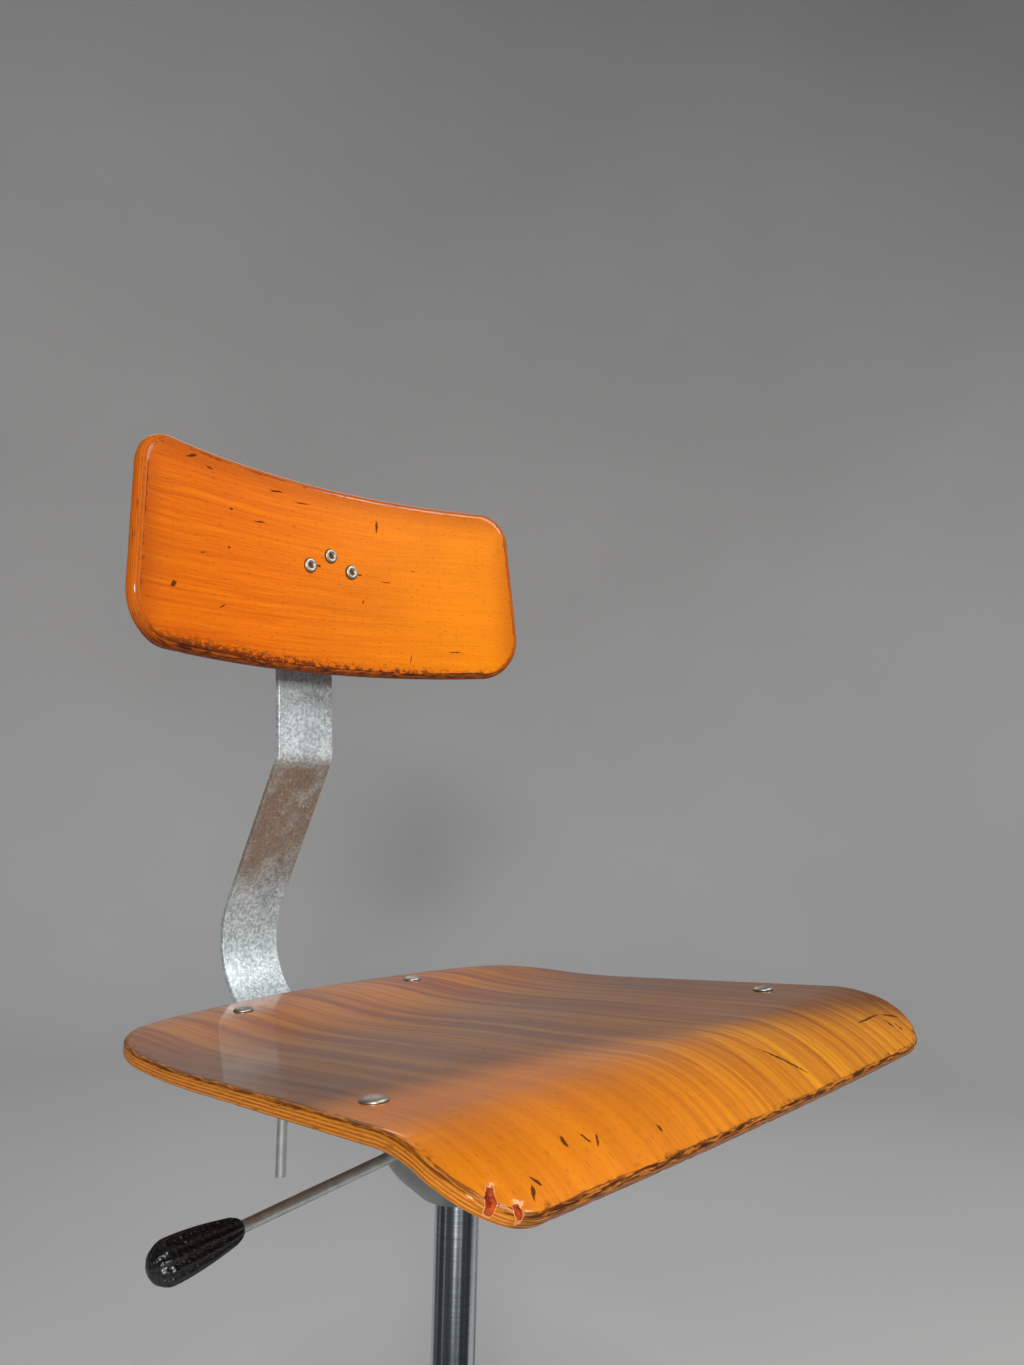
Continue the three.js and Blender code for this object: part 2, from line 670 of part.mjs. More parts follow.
function mechanismBowl() {
  const hole = SOCKET_RADIUS + FIT;
  const outside = bowlWall(0);
  const inside = bowlWall(BOWL_WALL).reverse();
  const profile = [[hole, BOWL_FLOOR_Z], ...outside.reverse(), ...inside.reverse(), [hole, BOWL_FLOOR_Z + BOWL_WALL]];
  const shell = turned([...profile, profile[0]]);
  const slotX = [-BOWL_RADIUS - 5, -BOWL_RADIUS + 12];
  const slotHalf = LEVER_RADIUS + 2;
  const slotZ = leverZ(-BOWL_RADIUS);
  const slot = block(slotX, [-slotHalf, slotHalf], [slotZ - LEVER_RADIUS - 1.5, slotZ + LEVER_RADIUS + 5]);
  return cut(shell, slot);
}

function columnSocket() {
  const bottom = BOWL_FLOOR_Z - SOCKET_LIP;
  const top = bottom + SOCKET_LENGTH;
  const lipRadius = (SOCKET_BORE + SOCKET_RADIUS) / 2;
  return turned([
    [SOCKET_BORE, bottom],
    [lipRadius, bottom],
    [SOCKET_RADIUS, bottom + SOCKET_LIP - FIT],
    [SOCKET_RADIUS, top],
    [SOCKET_BORE, top],
    [SOCKET_BORE, bottom],
  ]);
}

// ---------------------------------------------------------------- release lever

const TUBE_TOP_Z = SEAT_HEIGHT - TUBE_TOP_DROP;
const RELEASE_TOP_Z = TUBE_TOP_Z + RELEASE_SHOW;
const LEVER_CONTACT_GAP = 0.6;

// Height of the lever's middle line over the floor, at a given x left or right of the column.
function leverZ(x) {
  const overPin = RELEASE_TOP_Z + LEVER_CONTACT_GAP + LEVER_TONGUE_HEIGHT / 2;
  return overPin + x * Math.tan(degrees(LEVER_DROOP));
}

// The lever is made along -X from the column's axis, and then tipped down towards its grip.
function tipped(geometry) {
  return geometry.rotateY(-degrees(LEVER_DROOP)).translate(0, 0, leverZ(0));
}

function leverArm() {
  const inGrip = LEVER_LENGTH + GRIP_SOCKET - FIT;
  const round = bar(LEVER_RADIUS, LEVER_TONGUE_LENGTH - 8, inGrip).rotateY(-QUARTER_TURN);
  const halfWidth = LEVER_TONGUE_WIDTH / 2;
  const halfHeight = LEVER_TONGUE_HEIGHT / 2;
  const nose = RELEASE_RADIUS + 2;
  const tongue = block([-LEVER_TONGUE_LENGTH, nose], [-halfWidth, halfWidth], [-halfHeight, halfHeight]);
  const pinHole = bar(LEVER_PIN_RADIUS + FIT, -LEVER_TONGUE_WIDTH, LEVER_TONGUE_WIDTH)
    .rotateX(QUARTER_TURN)
    .translate(LEVER_PIVOT_X, 0, 0);
  return tipped(cut(joined(round, tongue), pinHole));
}

// A fluted moulding, slim where it takes the arm and fat at its rounded end.
function leverGrip() {
  const rings = 10;
  const around = GRIP_FLUTES * 3;
  const profile = [new THREE.Vector2(0, 0)];
  for (let i = 0; i <= rings; i++) {
    const t = i / rings;
    const body = GRIP_NECK + (GRIP_BELLY - GRIP_NECK) * Math.sin(Math.min(1, t * 1.25) * QUARTER_TURN);
    const neckRound = Math.sqrt(1 - Math.max(0, 1 - t * 9) ** 2 * 0.35);
    const endRound = Math.sqrt(Math.max(0, 1 - Math.max(0, (t - 0.8) / 0.2) ** 2));
    const last = i === rings;
    profile.push(new THREE.Vector2(last ? 0 : body * neckRound * endRound, t * GRIP_LENGTH));
  }
  const grip = new THREE.LatheGeometry(profile, around).rotateX(QUARTER_TURN);
  const at = grip.attributes.position;
  for (let i = 0; i < at.count; i++) {
    const angle = Math.atan2(at.getY(i), at.getX(i));
    const along = at.getZ(i) / GRIP_LENGTH;
    const strength = Math.sin(Math.min(1, Math.max(0, along)) * HALF_TURN) ** 0.5;
    const radius = Math.hypot(at.getX(i), at.getY(i));
    if (radius < GRIP_NECK / 2) continue;
    const flute = GRIP_FLUTE_DEPTH * strength * 0.5 * (1 - Math.cos(GRIP_FLUTES * angle));
    at.setX(i, (at.getX(i) * (radius - flute)) / radius);
    at.setY(i, (at.getY(i) * (radius - flute)) / radius);
  }
  const socketed = cut(grip, bar(LEVER_RADIUS + FIT, -1, GRIP_SOCKET));
  return tipped(socketed.translate(0, 0, LEVER_LENGTH).rotateY(-QUARTER_TURN));
}

// A small U-shaped bracket under the cover, whose two ears hold the lever's pin.
function leverBracket() {
  const top = BOWL_TOP_Z;
  const inner = LEVER_TONGUE_WIDTH / 2 + FIT;
  const outer = inner + BRACKET_WALL;
  const pivotZ = leverZ(LEVER_PIVOT_X);
  const xRange = [LEVER_PIVOT_X - BRACKET_LENGTH / 2, LEVER_PIVOT_X + BRACKET_LENGTH / 2];
  const bottom = pivotZ - LEVER_PIN_RADIUS - BRACKET_WALL;
  const outside = block(xRange, [-outer, outer], [bottom, top]);
  const past = 1;
  const inside = block([xRange[0] - past, xRange[1] + past], [-inner, inner], [bottom - past, top - BRACKET_WALL]);
  const hole = bar(LEVER_PIN_RADIUS + FIT, -outer - past, outer + past)
    .rotateX(QUARTER_TURN)
    .translate(LEVER_PIVOT_X, 0, pivotZ);
  return cut(outside, inside, hole);
}

function leverPin() {
  const wallFace = LEVER_TONGUE_WIDTH / 2 + 2 * FIT + BRACKET_WALL;
  return headedPin({
    shank: LEVER_PIN_RADIUS,
    head: LEVER_PIN_RADIUS * 1.6,
    dome: 1.5,
    length: 2 * wallFace,
    tail: LEVER_PIN_RADIUS * 1.4,
    tailHeight: 1.2,
  })
    .translate(0, 0, wallFace)
    .rotateX(QUARTER_TURN)
    .translate(LEVER_PIVOT_X, 0, leverZ(LEVER_PIVOT_X));
}

// ---------------------------------------------------------------- gas spring

const TUBE_BORE = TUBE_RADIUS - TUBE_WALL;
const TUBE_BOTTOM_Z = TUBE_TOP_Z - TUBE_LENGTH;
const PISTON_Z = TUBE_BOTTOM_Z + PISTON_RISE;

function pressureTube() {
  return ring(TUBE_BORE, TUBE_RADIUS, TUBE_BOTTOM_Z, TUBE_TOP_Z);
}

function tubeGland() {
  return ring(ROD_RADIUS + FIT, TUBE_BORE - FIT, TUBE_BOTTOM_Z, TUBE_BOTTOM_Z + GLAND_HEIGHT, INNER_ROUND);
}

function valvePlug() {
  return ring(RELEASE_RADIUS + FIT, TUBE_BORE - FIT, TUBE_TOP_Z - VALVE_HEIGHT, TUBE_TOP_Z, INNER_ROUND);
}

function releasePin() {
  const dome = 1;
  return turned(
    [
      [0, RELEASE_TOP_Z - RELEASE_LENGTH],
      [RELEASE_RADIUS, RELEASE_TOP_Z - RELEASE_LENGTH],
      [RELEASE_RADIUS, RELEASE_TOP_Z - dome],
      [RELEASE_RADIUS - dome, RELEASE_TOP_Z],
      [0, RELEASE_TOP_Z],
    ],
    SMALL_ROUND,
  );
}

const ANCHOR_TOP_Z = ANCHOR_Z + ANCHOR_THICKNESS;
const THRUST_TOP_Z = ANCHOR_TOP_Z + FIT + THRUST_HEIGHT;
const BUMPER_BOTTOM_Z = THRUST_TOP_Z + FIT;

// The rod stands in the base: a slim neck goes through the thrust washer and the anchor plate.
function gasRod() {
  const shoulder = BUMPER_BOTTOM_Z;
  return turned(
    [
      [0, STAND_BOTTOM_Z - 1],
      [ROD_NECK_RADIUS, STAND_BOTTOM_Z - 1],
      [ROD_NECK_RADIUS, shoulder],
      [ROD_RADIUS, shoulder],
      [ROD_RADIUS, PISTON_Z],
      [0, PISTON_Z],
    ],
    SMALL_ROUND,
  );
}

function gasPiston() {
  const bottom = PISTON_Z + FIT;
  return turned(
    [
      [0, bottom],
      [TUBE_BORE - FIT, bottom],
      [TUBE_BORE - FIT, bottom + PISTON_HEIGHT],
      [0, bottom + PISTON_HEIGHT],
    ],
    INNER_ROUND,
  );
}

// ---------------------------------------------------------------- base

const STAND_BORE = STAND_RADIUS - STAND_WALL;
const STAND_TOP_Z = BOWL_FLOOR_Z - SOCKET_LIP - COLUMN_SHOWN - BUSH_FLANGE - FIT;

function hub() {
  const bore = STAND_RADIUS + FIT;
  return turned([
    [bore, HUB_BOTTOM_Z],
    [HUB_RADIUS - HUB_ROUND, HUB_BOTTOM_Z],
    [HUB_RADIUS, HUB_BOTTOM_Z + HUB_ROUND],
    [HUB_RADIUS, HUB_TOP_Z - HUB_ROUND],
    [HUB_RADIUS - HUB_ROUND * 0.3, HUB_TOP_Z - HUB_ROUND * 0.3],
    [HUB_RADIUS - HUB_ROUND, HUB_TOP_Z],
    [bore, HUB_TOP_Z],
    [bore, HUB_BOTTOM_Z],
  ]);
}

// A tapered leg along +X, bowed a little upwards, with rounded long edges and a hole for its glide.
function legAlongX() {
  const root = HUB_RADIUS + WELD;
  const tip = LEG_TIP;
  const under = new THREE.QuadraticBezierCurve(
    new THREE.Vector2(root, LEG_ROOT_Z),
    new THREE.Vector2((root + tip) * 0.5, LEG_ROOT_Z),
    new THREE.Vector2(tip - LEG_EDGE, LEG_TIP_Z),
  );
  const over = new THREE.QuadraticBezierCurve(
    new THREE.Vector2(tip, LEG_TIP_Z + LEG_TIP_HEIGHT),
    new THREE.Vector2((root + tip) * 0.5, LEG_ROOT_Z + LEG_ROOT_HEIGHT * 0.95),
    new THREE.Vector2(root, LEG_ROOT_Z + LEG_ROOT_HEIGHT),
  );
  const outline = new THREE.Shape([...under.getPoints(8), ...over.getPoints(8)]);
  const leg = new THREE.ExtrudeGeometry(outline, {
    depth: LEG_WIDTH - 2 * LEG_EDGE,
    bevelThickness: LEG_EDGE,
    bevelSize: LEG_EDGE,
    bevelOffset: -LEG_EDGE,
    bevelSegments: 2,
    curveSegments: 1,
  })
    .rotateX(QUARTER_TURN)
    .translate(0, LEG_WIDTH / 2 - LEG_EDGE, 0);
  const stemTop = GLIDE_HEIGHT + GLIDE_STEM_LENGTH + 2 * FIT;
  const socket = bar(GLIDE_STEM_RADIUS + FIT, 0, stemTop).translate(LEG_TIP - GLIDE_INSET, 0, 0);
  return cut(leg, socket);
}

// A moulded glide: a domed foot with its stem.
function glide() {
  const round = 3;
  return turned(
    [
      [0, 0],
      [GLIDE_RADIUS - round, 0],
      [GLIDE_RADIUS - round * 0.3, round * 0.3],
      [GLIDE_RADIUS, round],
      [GLIDE_RADIUS, GLIDE_HEIGHT - 2 * round],
      [GLIDE_RADIUS * 0.55, GLIDE_HEIGHT],
      [GLIDE_STEM_RADIUS, GLIDE_HEIGHT],
      [GLIDE_STEM_RADIUS, GLIDE_HEIGHT + GLIDE_STEM_LENGTH],
      [0, GLIDE_HEIGHT + GLIDE_STEM_LENGTH],
    ],
    ROUND / 2,
  ).translate(LEG_TIP - GLIDE_INSET, 0, 0);
}

function guideBush() {
  const bottom = STAND_TOP_Z - BUSH_LENGTH;
  const bore = TUBE_RADIUS + FIT;
  const flangeRadius = STAND_RADIUS + 1.5;
  const flangeBottom = STAND_TOP_Z + FIT;
  return turned([
    [bore, bottom],
    [STAND_BORE - FIT, bottom],
    [STAND_BORE - FIT, flangeBottom],
    [flangeRadius, flangeBottom],
    [flangeRadius, flangeBottom + BUSH_FLANGE - 2],
    [flangeRadius - 3, flangeBottom + BUSH_FLANGE],
    [bore, flangeBottom + BUSH_FLANGE],
    [bore, bottom],
  ]);
}

// ---------------------------------------------------------------- foot ring

const RING_BOTTOM_Z = RING_Z - COLLAR_HEIGHT / 2;
const RING_SCREW_END = COLLAR_RADIUS + RING_SCREW_REACH;

function footRing() {
  const section = [];
  const facets = 12;
  for (let i = 0; i <= facets; i++) {
    const angle = (i / facets) * 2 * HALF_TURN;
    const radius = RING_RADIUS + RING_TUBE_RADIUS * Math.cos(angle);
    section.push([radius, RING_Z + RING_TUBE_RADIUS * Math.sin(angle)]);
  }
  section[facets] = section[0];
  return turned(section, 1.5 * ROUND);
}

function ringCollar() {
  const bore = STAND_RADIUS + FIT;
  const body = turned([
    [bore, RING_BOTTOM_Z],
    [COLLAR_RADIUS - 2, RING_BOTTOM_Z],
    [COLLAR_RADIUS, RING_BOTTOM_Z + 2],
    [COLLAR_RADIUS, RING_BOTTOM_Z + COLLAR_HEIGHT - 2],
    [COLLAR_RADIUS - 2, RING_BOTTOM_Z + COLLAR_HEIGHT],
    [bore, RING_BOTTOM_Z + COLLAR_HEIGHT],
    [bore, RING_BOTTOM_Z],
  ]);
  const hole = bar(RING_SCREW_RADIUS + FIT, 0, 2 * COLLAR_RADIUS).rotateX(-QUARTER_TURN).translate(0, 0, RING_Z);
  return cut(body, hole);
}

function ringSpoke(index) {
  const azimuth = SPOKE_FROM + (360 / RING_SPOKES) * index;
  const from = COLLAR_RADIUS + FIT;
  const to = RING_RADIUS - RING_TUBE_RADIUS - WELD;
  return bar(SPOKE_RADIUS, from, to).rotateY(QUARTER_TURN).rotateZ(degrees(azimuth)).translate(0, 0, RING_Z);
}

// Turns a screw or knob made along +Z so that it points to the rear at the ring's height.
function besideRing(geometry) {
  return geometry.rotateX(-QUARTER_TURN).translate(0, 0, RING_Z);
}

function ringScrew() {
  return besideRing(bar(RING_SCREW_RADIUS, STAND_RADIUS + FIT, RING_SCREW_END + RING_KNOB_LENGTH * 0.6 - FIT));
}

function ringKnob() {
  const knob = lobedKnob(RING_KNOB_RADIUS, RING_KNOB_LENGTH, RING_SCREW_RADIUS + FIT, RING_KNOB_LENGTH * 0.6);
  return besideRing(knob.translate(0, 0, RING_SCREW_END));
}

// ---------------------------------------------------------------- back strip and its clamp

// The strip's middle line, seen from the side, starting at its front end under the seat.
function stripLine() {
  const slope = (FRAME_SLOPE * 180) / Math.PI;
  const frontRun = (STRIP_BEND_Y - STRIP_FRONT_Y) / Math.cos(FRAME_SLOPE);
  return bentLine([STRIP_FRONT_Y, stripZ(STRIP_FRONT_Y)], -slope, [
    { run: frontRun },
    { bend: 90 + STRIP_RAKE + slope, radius: STRIP_BEND_RADIUS },
    { run: STRIP_RAKED_LENGTH },
    { bend: -(STRIP_RAKE + STRIP_TOP_LEAN), radius: STRIP_KNEE_RADIUS },
    { run: STRIP_UPRIGHT_LENGTH },
  ]);
}

function backStrip() {
  const strip = acrossX(thickened(stripLine(), STRIP_THICKNESS), STRIP_WIDTH);
  return cut(strip, stopPinBlank(FIT));
}

function stopPinBlank(extra) {
  const radius = STOP_RADIUS * 0.6 + extra;
  return bar(radius, -STRIP_THICKNESS, STRIP_THICKNESS).rotateX(-FRAME_SLOPE).translate(0, STOP_Y, stripZ(STOP_Y));
}

// A pin through the strip's front end. Its head below catches on the guide bolt, so the strip can't pull out.
function stopPin() {
  const half = STRIP_THICKNESS / 2;
  const shank = STOP_RADIUS * 0.6;
  return turned(
    [
      [0, -half - FIT - STOP_HEIGHT],
      [STOP_RADIUS, -half - FIT - STOP_HEIGHT],
      [STOP_RADIUS, -half - FIT],
      [shank, -half - FIT],
      [shank, half],
      [0, half],
    ],
    SMALL_ROUND,
  )
    .rotateX(-FRAME_SLOPE)
    .translate(0, STOP_Y, stripZ(STOP_Y));
}

// One round bar, bent square: its shaft crosses the channel and its handle hangs beside it.
function clampRod() {
  const shaftEnd = CHANNEL_OUTSIDE + 6;
  const path = new THREE.CurvePath();
  const corner = CLAMP_ROD_X;
  const bendStart = new THREE.Vector3(corner + CLAMP_ROD_BEND, 0, 0);
  const bendEnd = new THREE.Vector3(corner, 0, -CLAMP_ROD_BEND);
  path.add(new THREE.LineCurve3(new THREE.Vector3(shaftEnd, 0, 0), bendStart));
  path.add(new THREE.QuadraticBezierCurve3(bendStart, new THREE.Vector3(corner, 0, 0), bendEnd));
  path.add(new THREE.LineCurve3(bendEnd, new THREE.Vector3(corner, 0, -CLAMP_ROD_DROP)));
  const section = new THREE.Shape();
  for (let i = 0; i < SMALL_ROUND; i++) {
    const angle = (i / SMALL_ROUND) * 2 * HALF_TURN;
    const move = i === 0 ? "moveTo" : "lineTo";
    section[move](CLAMP_ROD_RADIUS * Math.cos(angle), CLAMP_ROD_RADIUS * Math.sin(angle));
  }
  const rod = new THREE.ExtrudeGeometry(section, { steps: 14, extrudePath: path, bevelEnabled: false });
  const tip = new THREE.SphereGeometry(CLAMP_ROD_RADIUS * 0.99, SMALL_ROUND, 6).translate(corner, 0, -CLAMP_ROD_DROP);
  return joined(rod, tip).translate(0, CLAMP_Y, CLAMP_SHAFT_Z);
}

// The cam under the strip: a sleeve on the shaft, bored out of centre.
function clampCam() {
  const half = CHANNEL_INSIDE - 2;
  const lobe = bar(CAM_RADIUS - CAM_THROW / 2, -half, half, ROUND / 2).rotateY(QUARTER_TURN);
  const bore = bar(CLAMP_ROD_RADIUS + FIT / 2, -half - 1, half + 1).rotateY(QUARTER_TURN);
  return cut(lobe.translate(0, 0, CAM_THROW / 2), bore).translate(0, CLAMP_Y, CLAMP_SHAFT_Z);
}

// ---------------------------------------------------------------- backrest

// A group whose origin is the middle of the board's front face, leaning back with it.
function backrestFrame() {
  const group = new THREE.Group();
  group.position.set(0, BACK_FACE_Y, SEAT_HEIGHT + BACK_RISE);
  group.rotation.x = -degrees(BACK_LEAN);
  return group;
}

function backEdge(u, v) {
  const height = BACK_TOP_H - BACK_BOTTOM_H;
  const { along, inset } = cornerRow((v + 1) / 2, height, BACK_BOTTOM_CORNER, BACK_TOP_CORNER);
  const share = along / height;
  const bottomWidth = BACK_BOTTOM_HALF_WIDTH;
  const halfWidth = bottomWidth + (BACK_TOP_HALF_WIDTH - bottomWidth) * share - inset;
  const bottomBow = -BACK_BOTTOM_BOW * (1 - share) ** 2 * (1 - u ** 2);
  const topSag = -BACK_TOP_SAG * share ** 2 * (1 - u ** 2);
  return [u * halfWidth, BACK_BOTTOM_H + along + bottomBow + topSag];
}

// The board in its own frame: x across, y to the rear, z up the board.
function backBoard() {
  const face = (across, up) => {
    const angle = across / BACK_RADIUS;
    return new THREE.Vector3(BACK_RADIUS * Math.sin(angle), -BACK_RADIUS * (1 - Math.cos(angle)), up);
  };
  const sheet = pressedSheet(18, 16, { thickness: BACK_THICKNESS, soft: BACK_EDGE, edge: backEdge, face });
  return cut(sheet, ...BACK_RIVETS.map((at) => throughBoard(BACK_RIVET_SHANK + FIT, at)));
}

function throughBoard(radius, [across, up]) {
  return bar(radius, -40, 40).rotateX(QUARTER_TURN).translate(across, 0, up);
}

const PLATE_FRONT_Y = BACK_THICKNESS + FIT;
const PLATE_BACK_Y = PLATE_FRONT_Y + PLATE_THICKNESS;

// A tubular rivet: a rolled rim in front, and its tail spread behind the bracket plate.
function backRivet([across, up]) {
  const sink = BACK_RADIUS - Math.sqrt(BACK_RADIUS ** 2 - across ** 2);
  const front = -sink - FIT * 2;
  const tail = PLATE_BACK_Y + FIT;
  const profile = [
    [BACK_RIVET_BORE, -tail - 1],
    [BACK_RIVET_SHANK * 1.5, -tail - 1],
    [BACK_RIVET_SHANK * 1.5, -tail],
    [BACK_RIVET_SHANK, -tail],
    [BACK_RIVET_SHANK, -front],
    [BACK_RIVET_HEAD, -front],
    [BACK_RIVET_HEAD * 0.94, -front + BACK_RIVET_RIM * 0.7],
    [BACK_RIVET_HEAD * 0.72, -front + BACK_RIVET_RIM],
    [BACK_RIVET_BORE * 1.3, -front + BACK_RIVET_RIM * 0.5],
    [BACK_RIVET_BORE, -front],
    [BACK_RIVET_BORE, -tail - 1],
  ];
  return turned(profile, SMALL_ROUND).rotateX(QUARTER_TURN).translate(across, 0, up);
}

// Bracket plate riveted behind the board, with the middle knuckle of the tilt hinge.
function bracketPlate() {
  const corner = 10;
  const w = PLATE_HALF_WIDTH;
  const plate = new THREE.Shape();
  plate.moveTo(-w + corner, PLATE_BOTTOM_H);
  plate.lineTo(w - corner, PLATE_BOTTOM_H);
  plate.quadraticCurveTo(w, PLATE_BOTTOM_H, w, PLATE_BOTTOM_H + corner);
  plate.lineTo(w, PLATE_TOP_H - corner);
  plate.quadraticCurveTo(w, PLATE_TOP_H, w - corner, PLATE_TOP_H);
  plate.lineTo(-w + corner, PLATE_TOP_H);
  plate.quadraticCurveTo(-w, PLATE_TOP_H, -w, PLATE_TOP_H - corner);
  plate.lineTo(-w, PLATE_BOTTOM_H + corner);
  plate.quadraticCurveTo(-w, PLATE_BOTTOM_H, -w + corner, PLATE_BOTTOM_H);
  const flat = new THREE.ExtrudeGeometry(plate, { depth: PLATE_THICKNESS, bevelEnabled: false, curveSegments: 4 })
    .rotateX(QUARTER_TURN)
    .translate(0, PLATE_BACK_Y, 0);
  const half = HINGE_CARRIER_HALF;
  const knuckle = alongHinge(HINGE_KNUCKLE_RADIUS, -half, half);
  const neckTop = HINGE_H + HINGE_KNUCKLE_RADIUS * 0.8;
  const neckBottom = HINGE_H - HINGE_KNUCKLE_RADIUS * 0.8;
  const neck = block([-half, half], [PLATE_BACK_Y - 1, HINGE_BACKSET], [neckBottom, neckTop]);
  const bore = alongHinge(HINGE_PIN_RADIUS + FIT, -half - 1, half + 1);
  const holes = BACK_RIVETS.map((at) => throughBoard(BACK_RIVET_SHANK + FIT, at));
  return cut(joined(flat, neck, knuckle), bore, ...holes);
}

// A round bar along X on the hinge line, in the board's frame.
function alongHinge(radius, from, to) {
  return bar(radius, from, to).rotateY(QUARTER_TURN).translate(0, HINGE_BACKSET, HINGE_H);
}

// ---------------------------------------------------------------- height slider on the strip

// The tilt hinge's line seen from the side, and the point of the strip's upright stretch that faces it.
function hingeAndStrip() {
  const boardLean = degrees(BACK_LEAN);
  const hinge = new THREE.Vector2(
    BACK_FACE_Y + HINGE_BACKSET * Math.cos(boardLean) + HINGE_H * Math.sin(boardLean),
    SEAT_HEIGHT + BACK_RISE - HINGE_BACKSET * Math.sin(boardLean) + HINGE_H * Math.cos(boardLean),
  );
  const top = stripLine().pop();
  const upwards = new THREE.Vector2(Math.cos(top.angle), Math.sin(top.angle));
  const end = new THREE.Vector2(top.y, top.z);
  const facing = end.clone().addScaledVector(upwards, hinge.clone().sub(end).dot(upwards));
  return { facing, reach: hinge.distanceTo(facing) };
}

// A group on the strip's middle line, level with the hinge: x across, y to the rear, z up the strip.
function sliderFrame() {
  const { facing } = hingeAndStrip();
  const group = new THREE.Group();
  group.position.set(0, facing.x, facing.y);
  group.rotation.x = -degrees(STRIP_TOP_LEAN);
  return group;
}

const SLEEVE_INSIDE_X = STRIP_WIDTH / 2 + SLEEVE_FIT;
const SLEEVE_INSIDE_Y = STRIP_THICKNESS / 2 + SLEEVE_FIT;

// A flat sleeve round the strip, with the two outer knuckles of the tilt hinge in front.
function slidingSleeve() {
  const outX = SLEEVE_INSIDE_X + SLEEVE_WALL;
  const outY = SLEEVE_INSIDE_Y + SLEEVE_WALL;
  const half = SLEEVE_HEIGHT / 2;
  const past = 1;
  const body = block([-outX, outX], [-outY, outY], [-half, half]);
  const inX = SLEEVE_INSIDE_X;
  const inY = SLEEVE_INSIDE_Y;
  const slot = block([-inX, inX], [-inY, inY], [-half - past, half + past]);
  const pinY = -hingeAndStrip().reach;
  const start = HINGE_CARRIER_HALF + FIT;
  const end = start + HINGE_OUTER_LENGTH - 2 * FIT;
  const neckHalf = HINGE_KNUCKLE_RADIUS * 0.8;
  const ears = [-1, 1].flatMap((side) => {
    const [from, to] = side < 0 ? [-end, -start] : [start, end];
    const knuckle = bar(HINGE_KNUCKLE_RADIUS, from, to).rotateY(QUARTER_TURN).translate(0, pinY, 0);
    const neck = block([from, to], [pinY, -outY + past], [-neckHalf, neckHalf]);
    return [knuckle, neck];
  });
  const bore = bar(HINGE_PIN_RADIUS + FIT, -outX, outX).rotateY(QUARTER_TURN).translate(0, pinY, 0);
  const tapped = bar(BACK_SCREW_RADIUS + FIT, 0, 2 * outY).rotateX(-QUARTER_TURN);
  return cut(joined(body, ...ears), slot, bore, tapped);
}

function hingePin() {
  const reach = HINGE_CARRIER_HALF + HINGE_OUTER_LENGTH;
  return headedPin({
    shank: HINGE_PIN_RADIUS,
    head: HINGE_PIN_RADIUS * 1.6,
    dome: 1.2,
    length: 2 * reach,
    tail: HINGE_PIN_RADIUS * 1.4,
    tailHeight: 1,
  })
    .translate(0, 0, reach)
    .rotateY(QUARTER_TURN)
    .translate(0, -hingeAndStrip().reach, 0);
}

const BACK_SCREW_END = SLEEVE_INSIDE_Y + SLEEVE_WALL + BACK_SCREW_REACH;

function backScrew() {
  const from = STRIP_THICKNESS / 2 + FIT;
  return bar(BACK_SCREW_RADIUS, from, BACK_SCREW_END + BACK_KNOB_LENGTH * 0.6 - FIT).rotateX(-QUARTER_TURN);
}

function backKnob() {
  const knob = lobedKnob(BACK_KNOB_RADIUS, BACK_KNOB_LENGTH, BACK_SCREW_RADIUS + FIT, BACK_KNOB_LENGTH * 0.6);
  return knob.translate(0, 0, BACK_SCREW_END).rotateX(-QUARTER_TURN);
}

// ---------------------------------------------------------------- assembly

function baseGroup() {
  const group = new THREE.Group();
  place(group, "base_hub", hub(), "grayEnamel");
  for (let i = 0; i < LEG_COUNT; i++) {
    const turn = (i / LEG_COUNT) * 2 * HALF_TURN;
    place(group, `leg_${i + 1}`, legAlongX().rotateZ(turn), "grayEnamel");
    place(group, `glide_${i + 1}`, glide().rotateZ(turn), "nylon");
  }
  place(group, "stand_tube", ring(STAND_BORE, STAND_RADIUS, STAND_BOTTOM_Z, STAND_TOP_Z), "grayEnamel");
  place(group, "guide_bush", guideBush(), "nylon");
  const anchor = ring(ROD_NECK_RADIUS + FIT, STAND_BORE - FIT, ANCHOR_Z, ANCHOR_TOP_Z, INNER_ROUND);
  place(group, "rod_anchor_plate", anchor, "zincPlated");
  const thrust = ring(ROD_NECK_RADIUS + FIT, TUBE_RADIUS, ANCHOR_TOP_Z + FIT, THRUST_TOP_Z, INNER_ROUND);
  place(group, "thrust_washer", thrust, "zincPlated");
  const bumperZ = [BUMPER_BOTTOM_Z + FIT, BUMPER_BOTTOM_Z + BUMPER_HEIGHT];
  const bumper = ring(ROD_RADIUS + FIT, TUBE_BORE, ...bumperZ, INNER_ROUND);
  place(group, "rod_bumper", bumper, "rubber");
  const clipTop = ANCHOR_Z - FIT;
  const clip = ring(ROD_NECK_RADIUS + FIT, 2 * ROD_RADIUS, clipTop - CLIP_THICKNESS, clipTop, INNER_ROUND);
  place(group, "rod_clip", clip, "zincPlated");
  place(group, "gas_rod", gasRod(), "chrome");
  place(group, "gas_piston", gasPiston(), "zincPlated");
  return group;
}

function footRingGroup() {
  const group = new THREE.Group();
  place(group, "foot_ring", footRing(), "chrome");
  place(group, "foot_ring_collar", ringCollar(), "grayEnamel");
  for (let i = 0; i < RING_SPOKES; i++) place(group, `foot_ring_spoke_${i + 1}`, ringSpoke(i), "chrome");
  place(group, "foot_ring_screw", ringScrew(), "zincPlated");
  place(group, "foot_ring_knob", ringKnob(), "blackPlastic");
  return group;
}

function columnGroup() {
  const group = new THREE.Group();
  place(group, "pressure_tube", pressureTube(), "chrome");
  place(group, "tube_gland", tubeGland(), "zincPlated");
  place(group, "valve_plug", valvePlug(), "zincPlated");
  place(group, "release_pin", releasePin(), "zincPlated");
  return group;
}

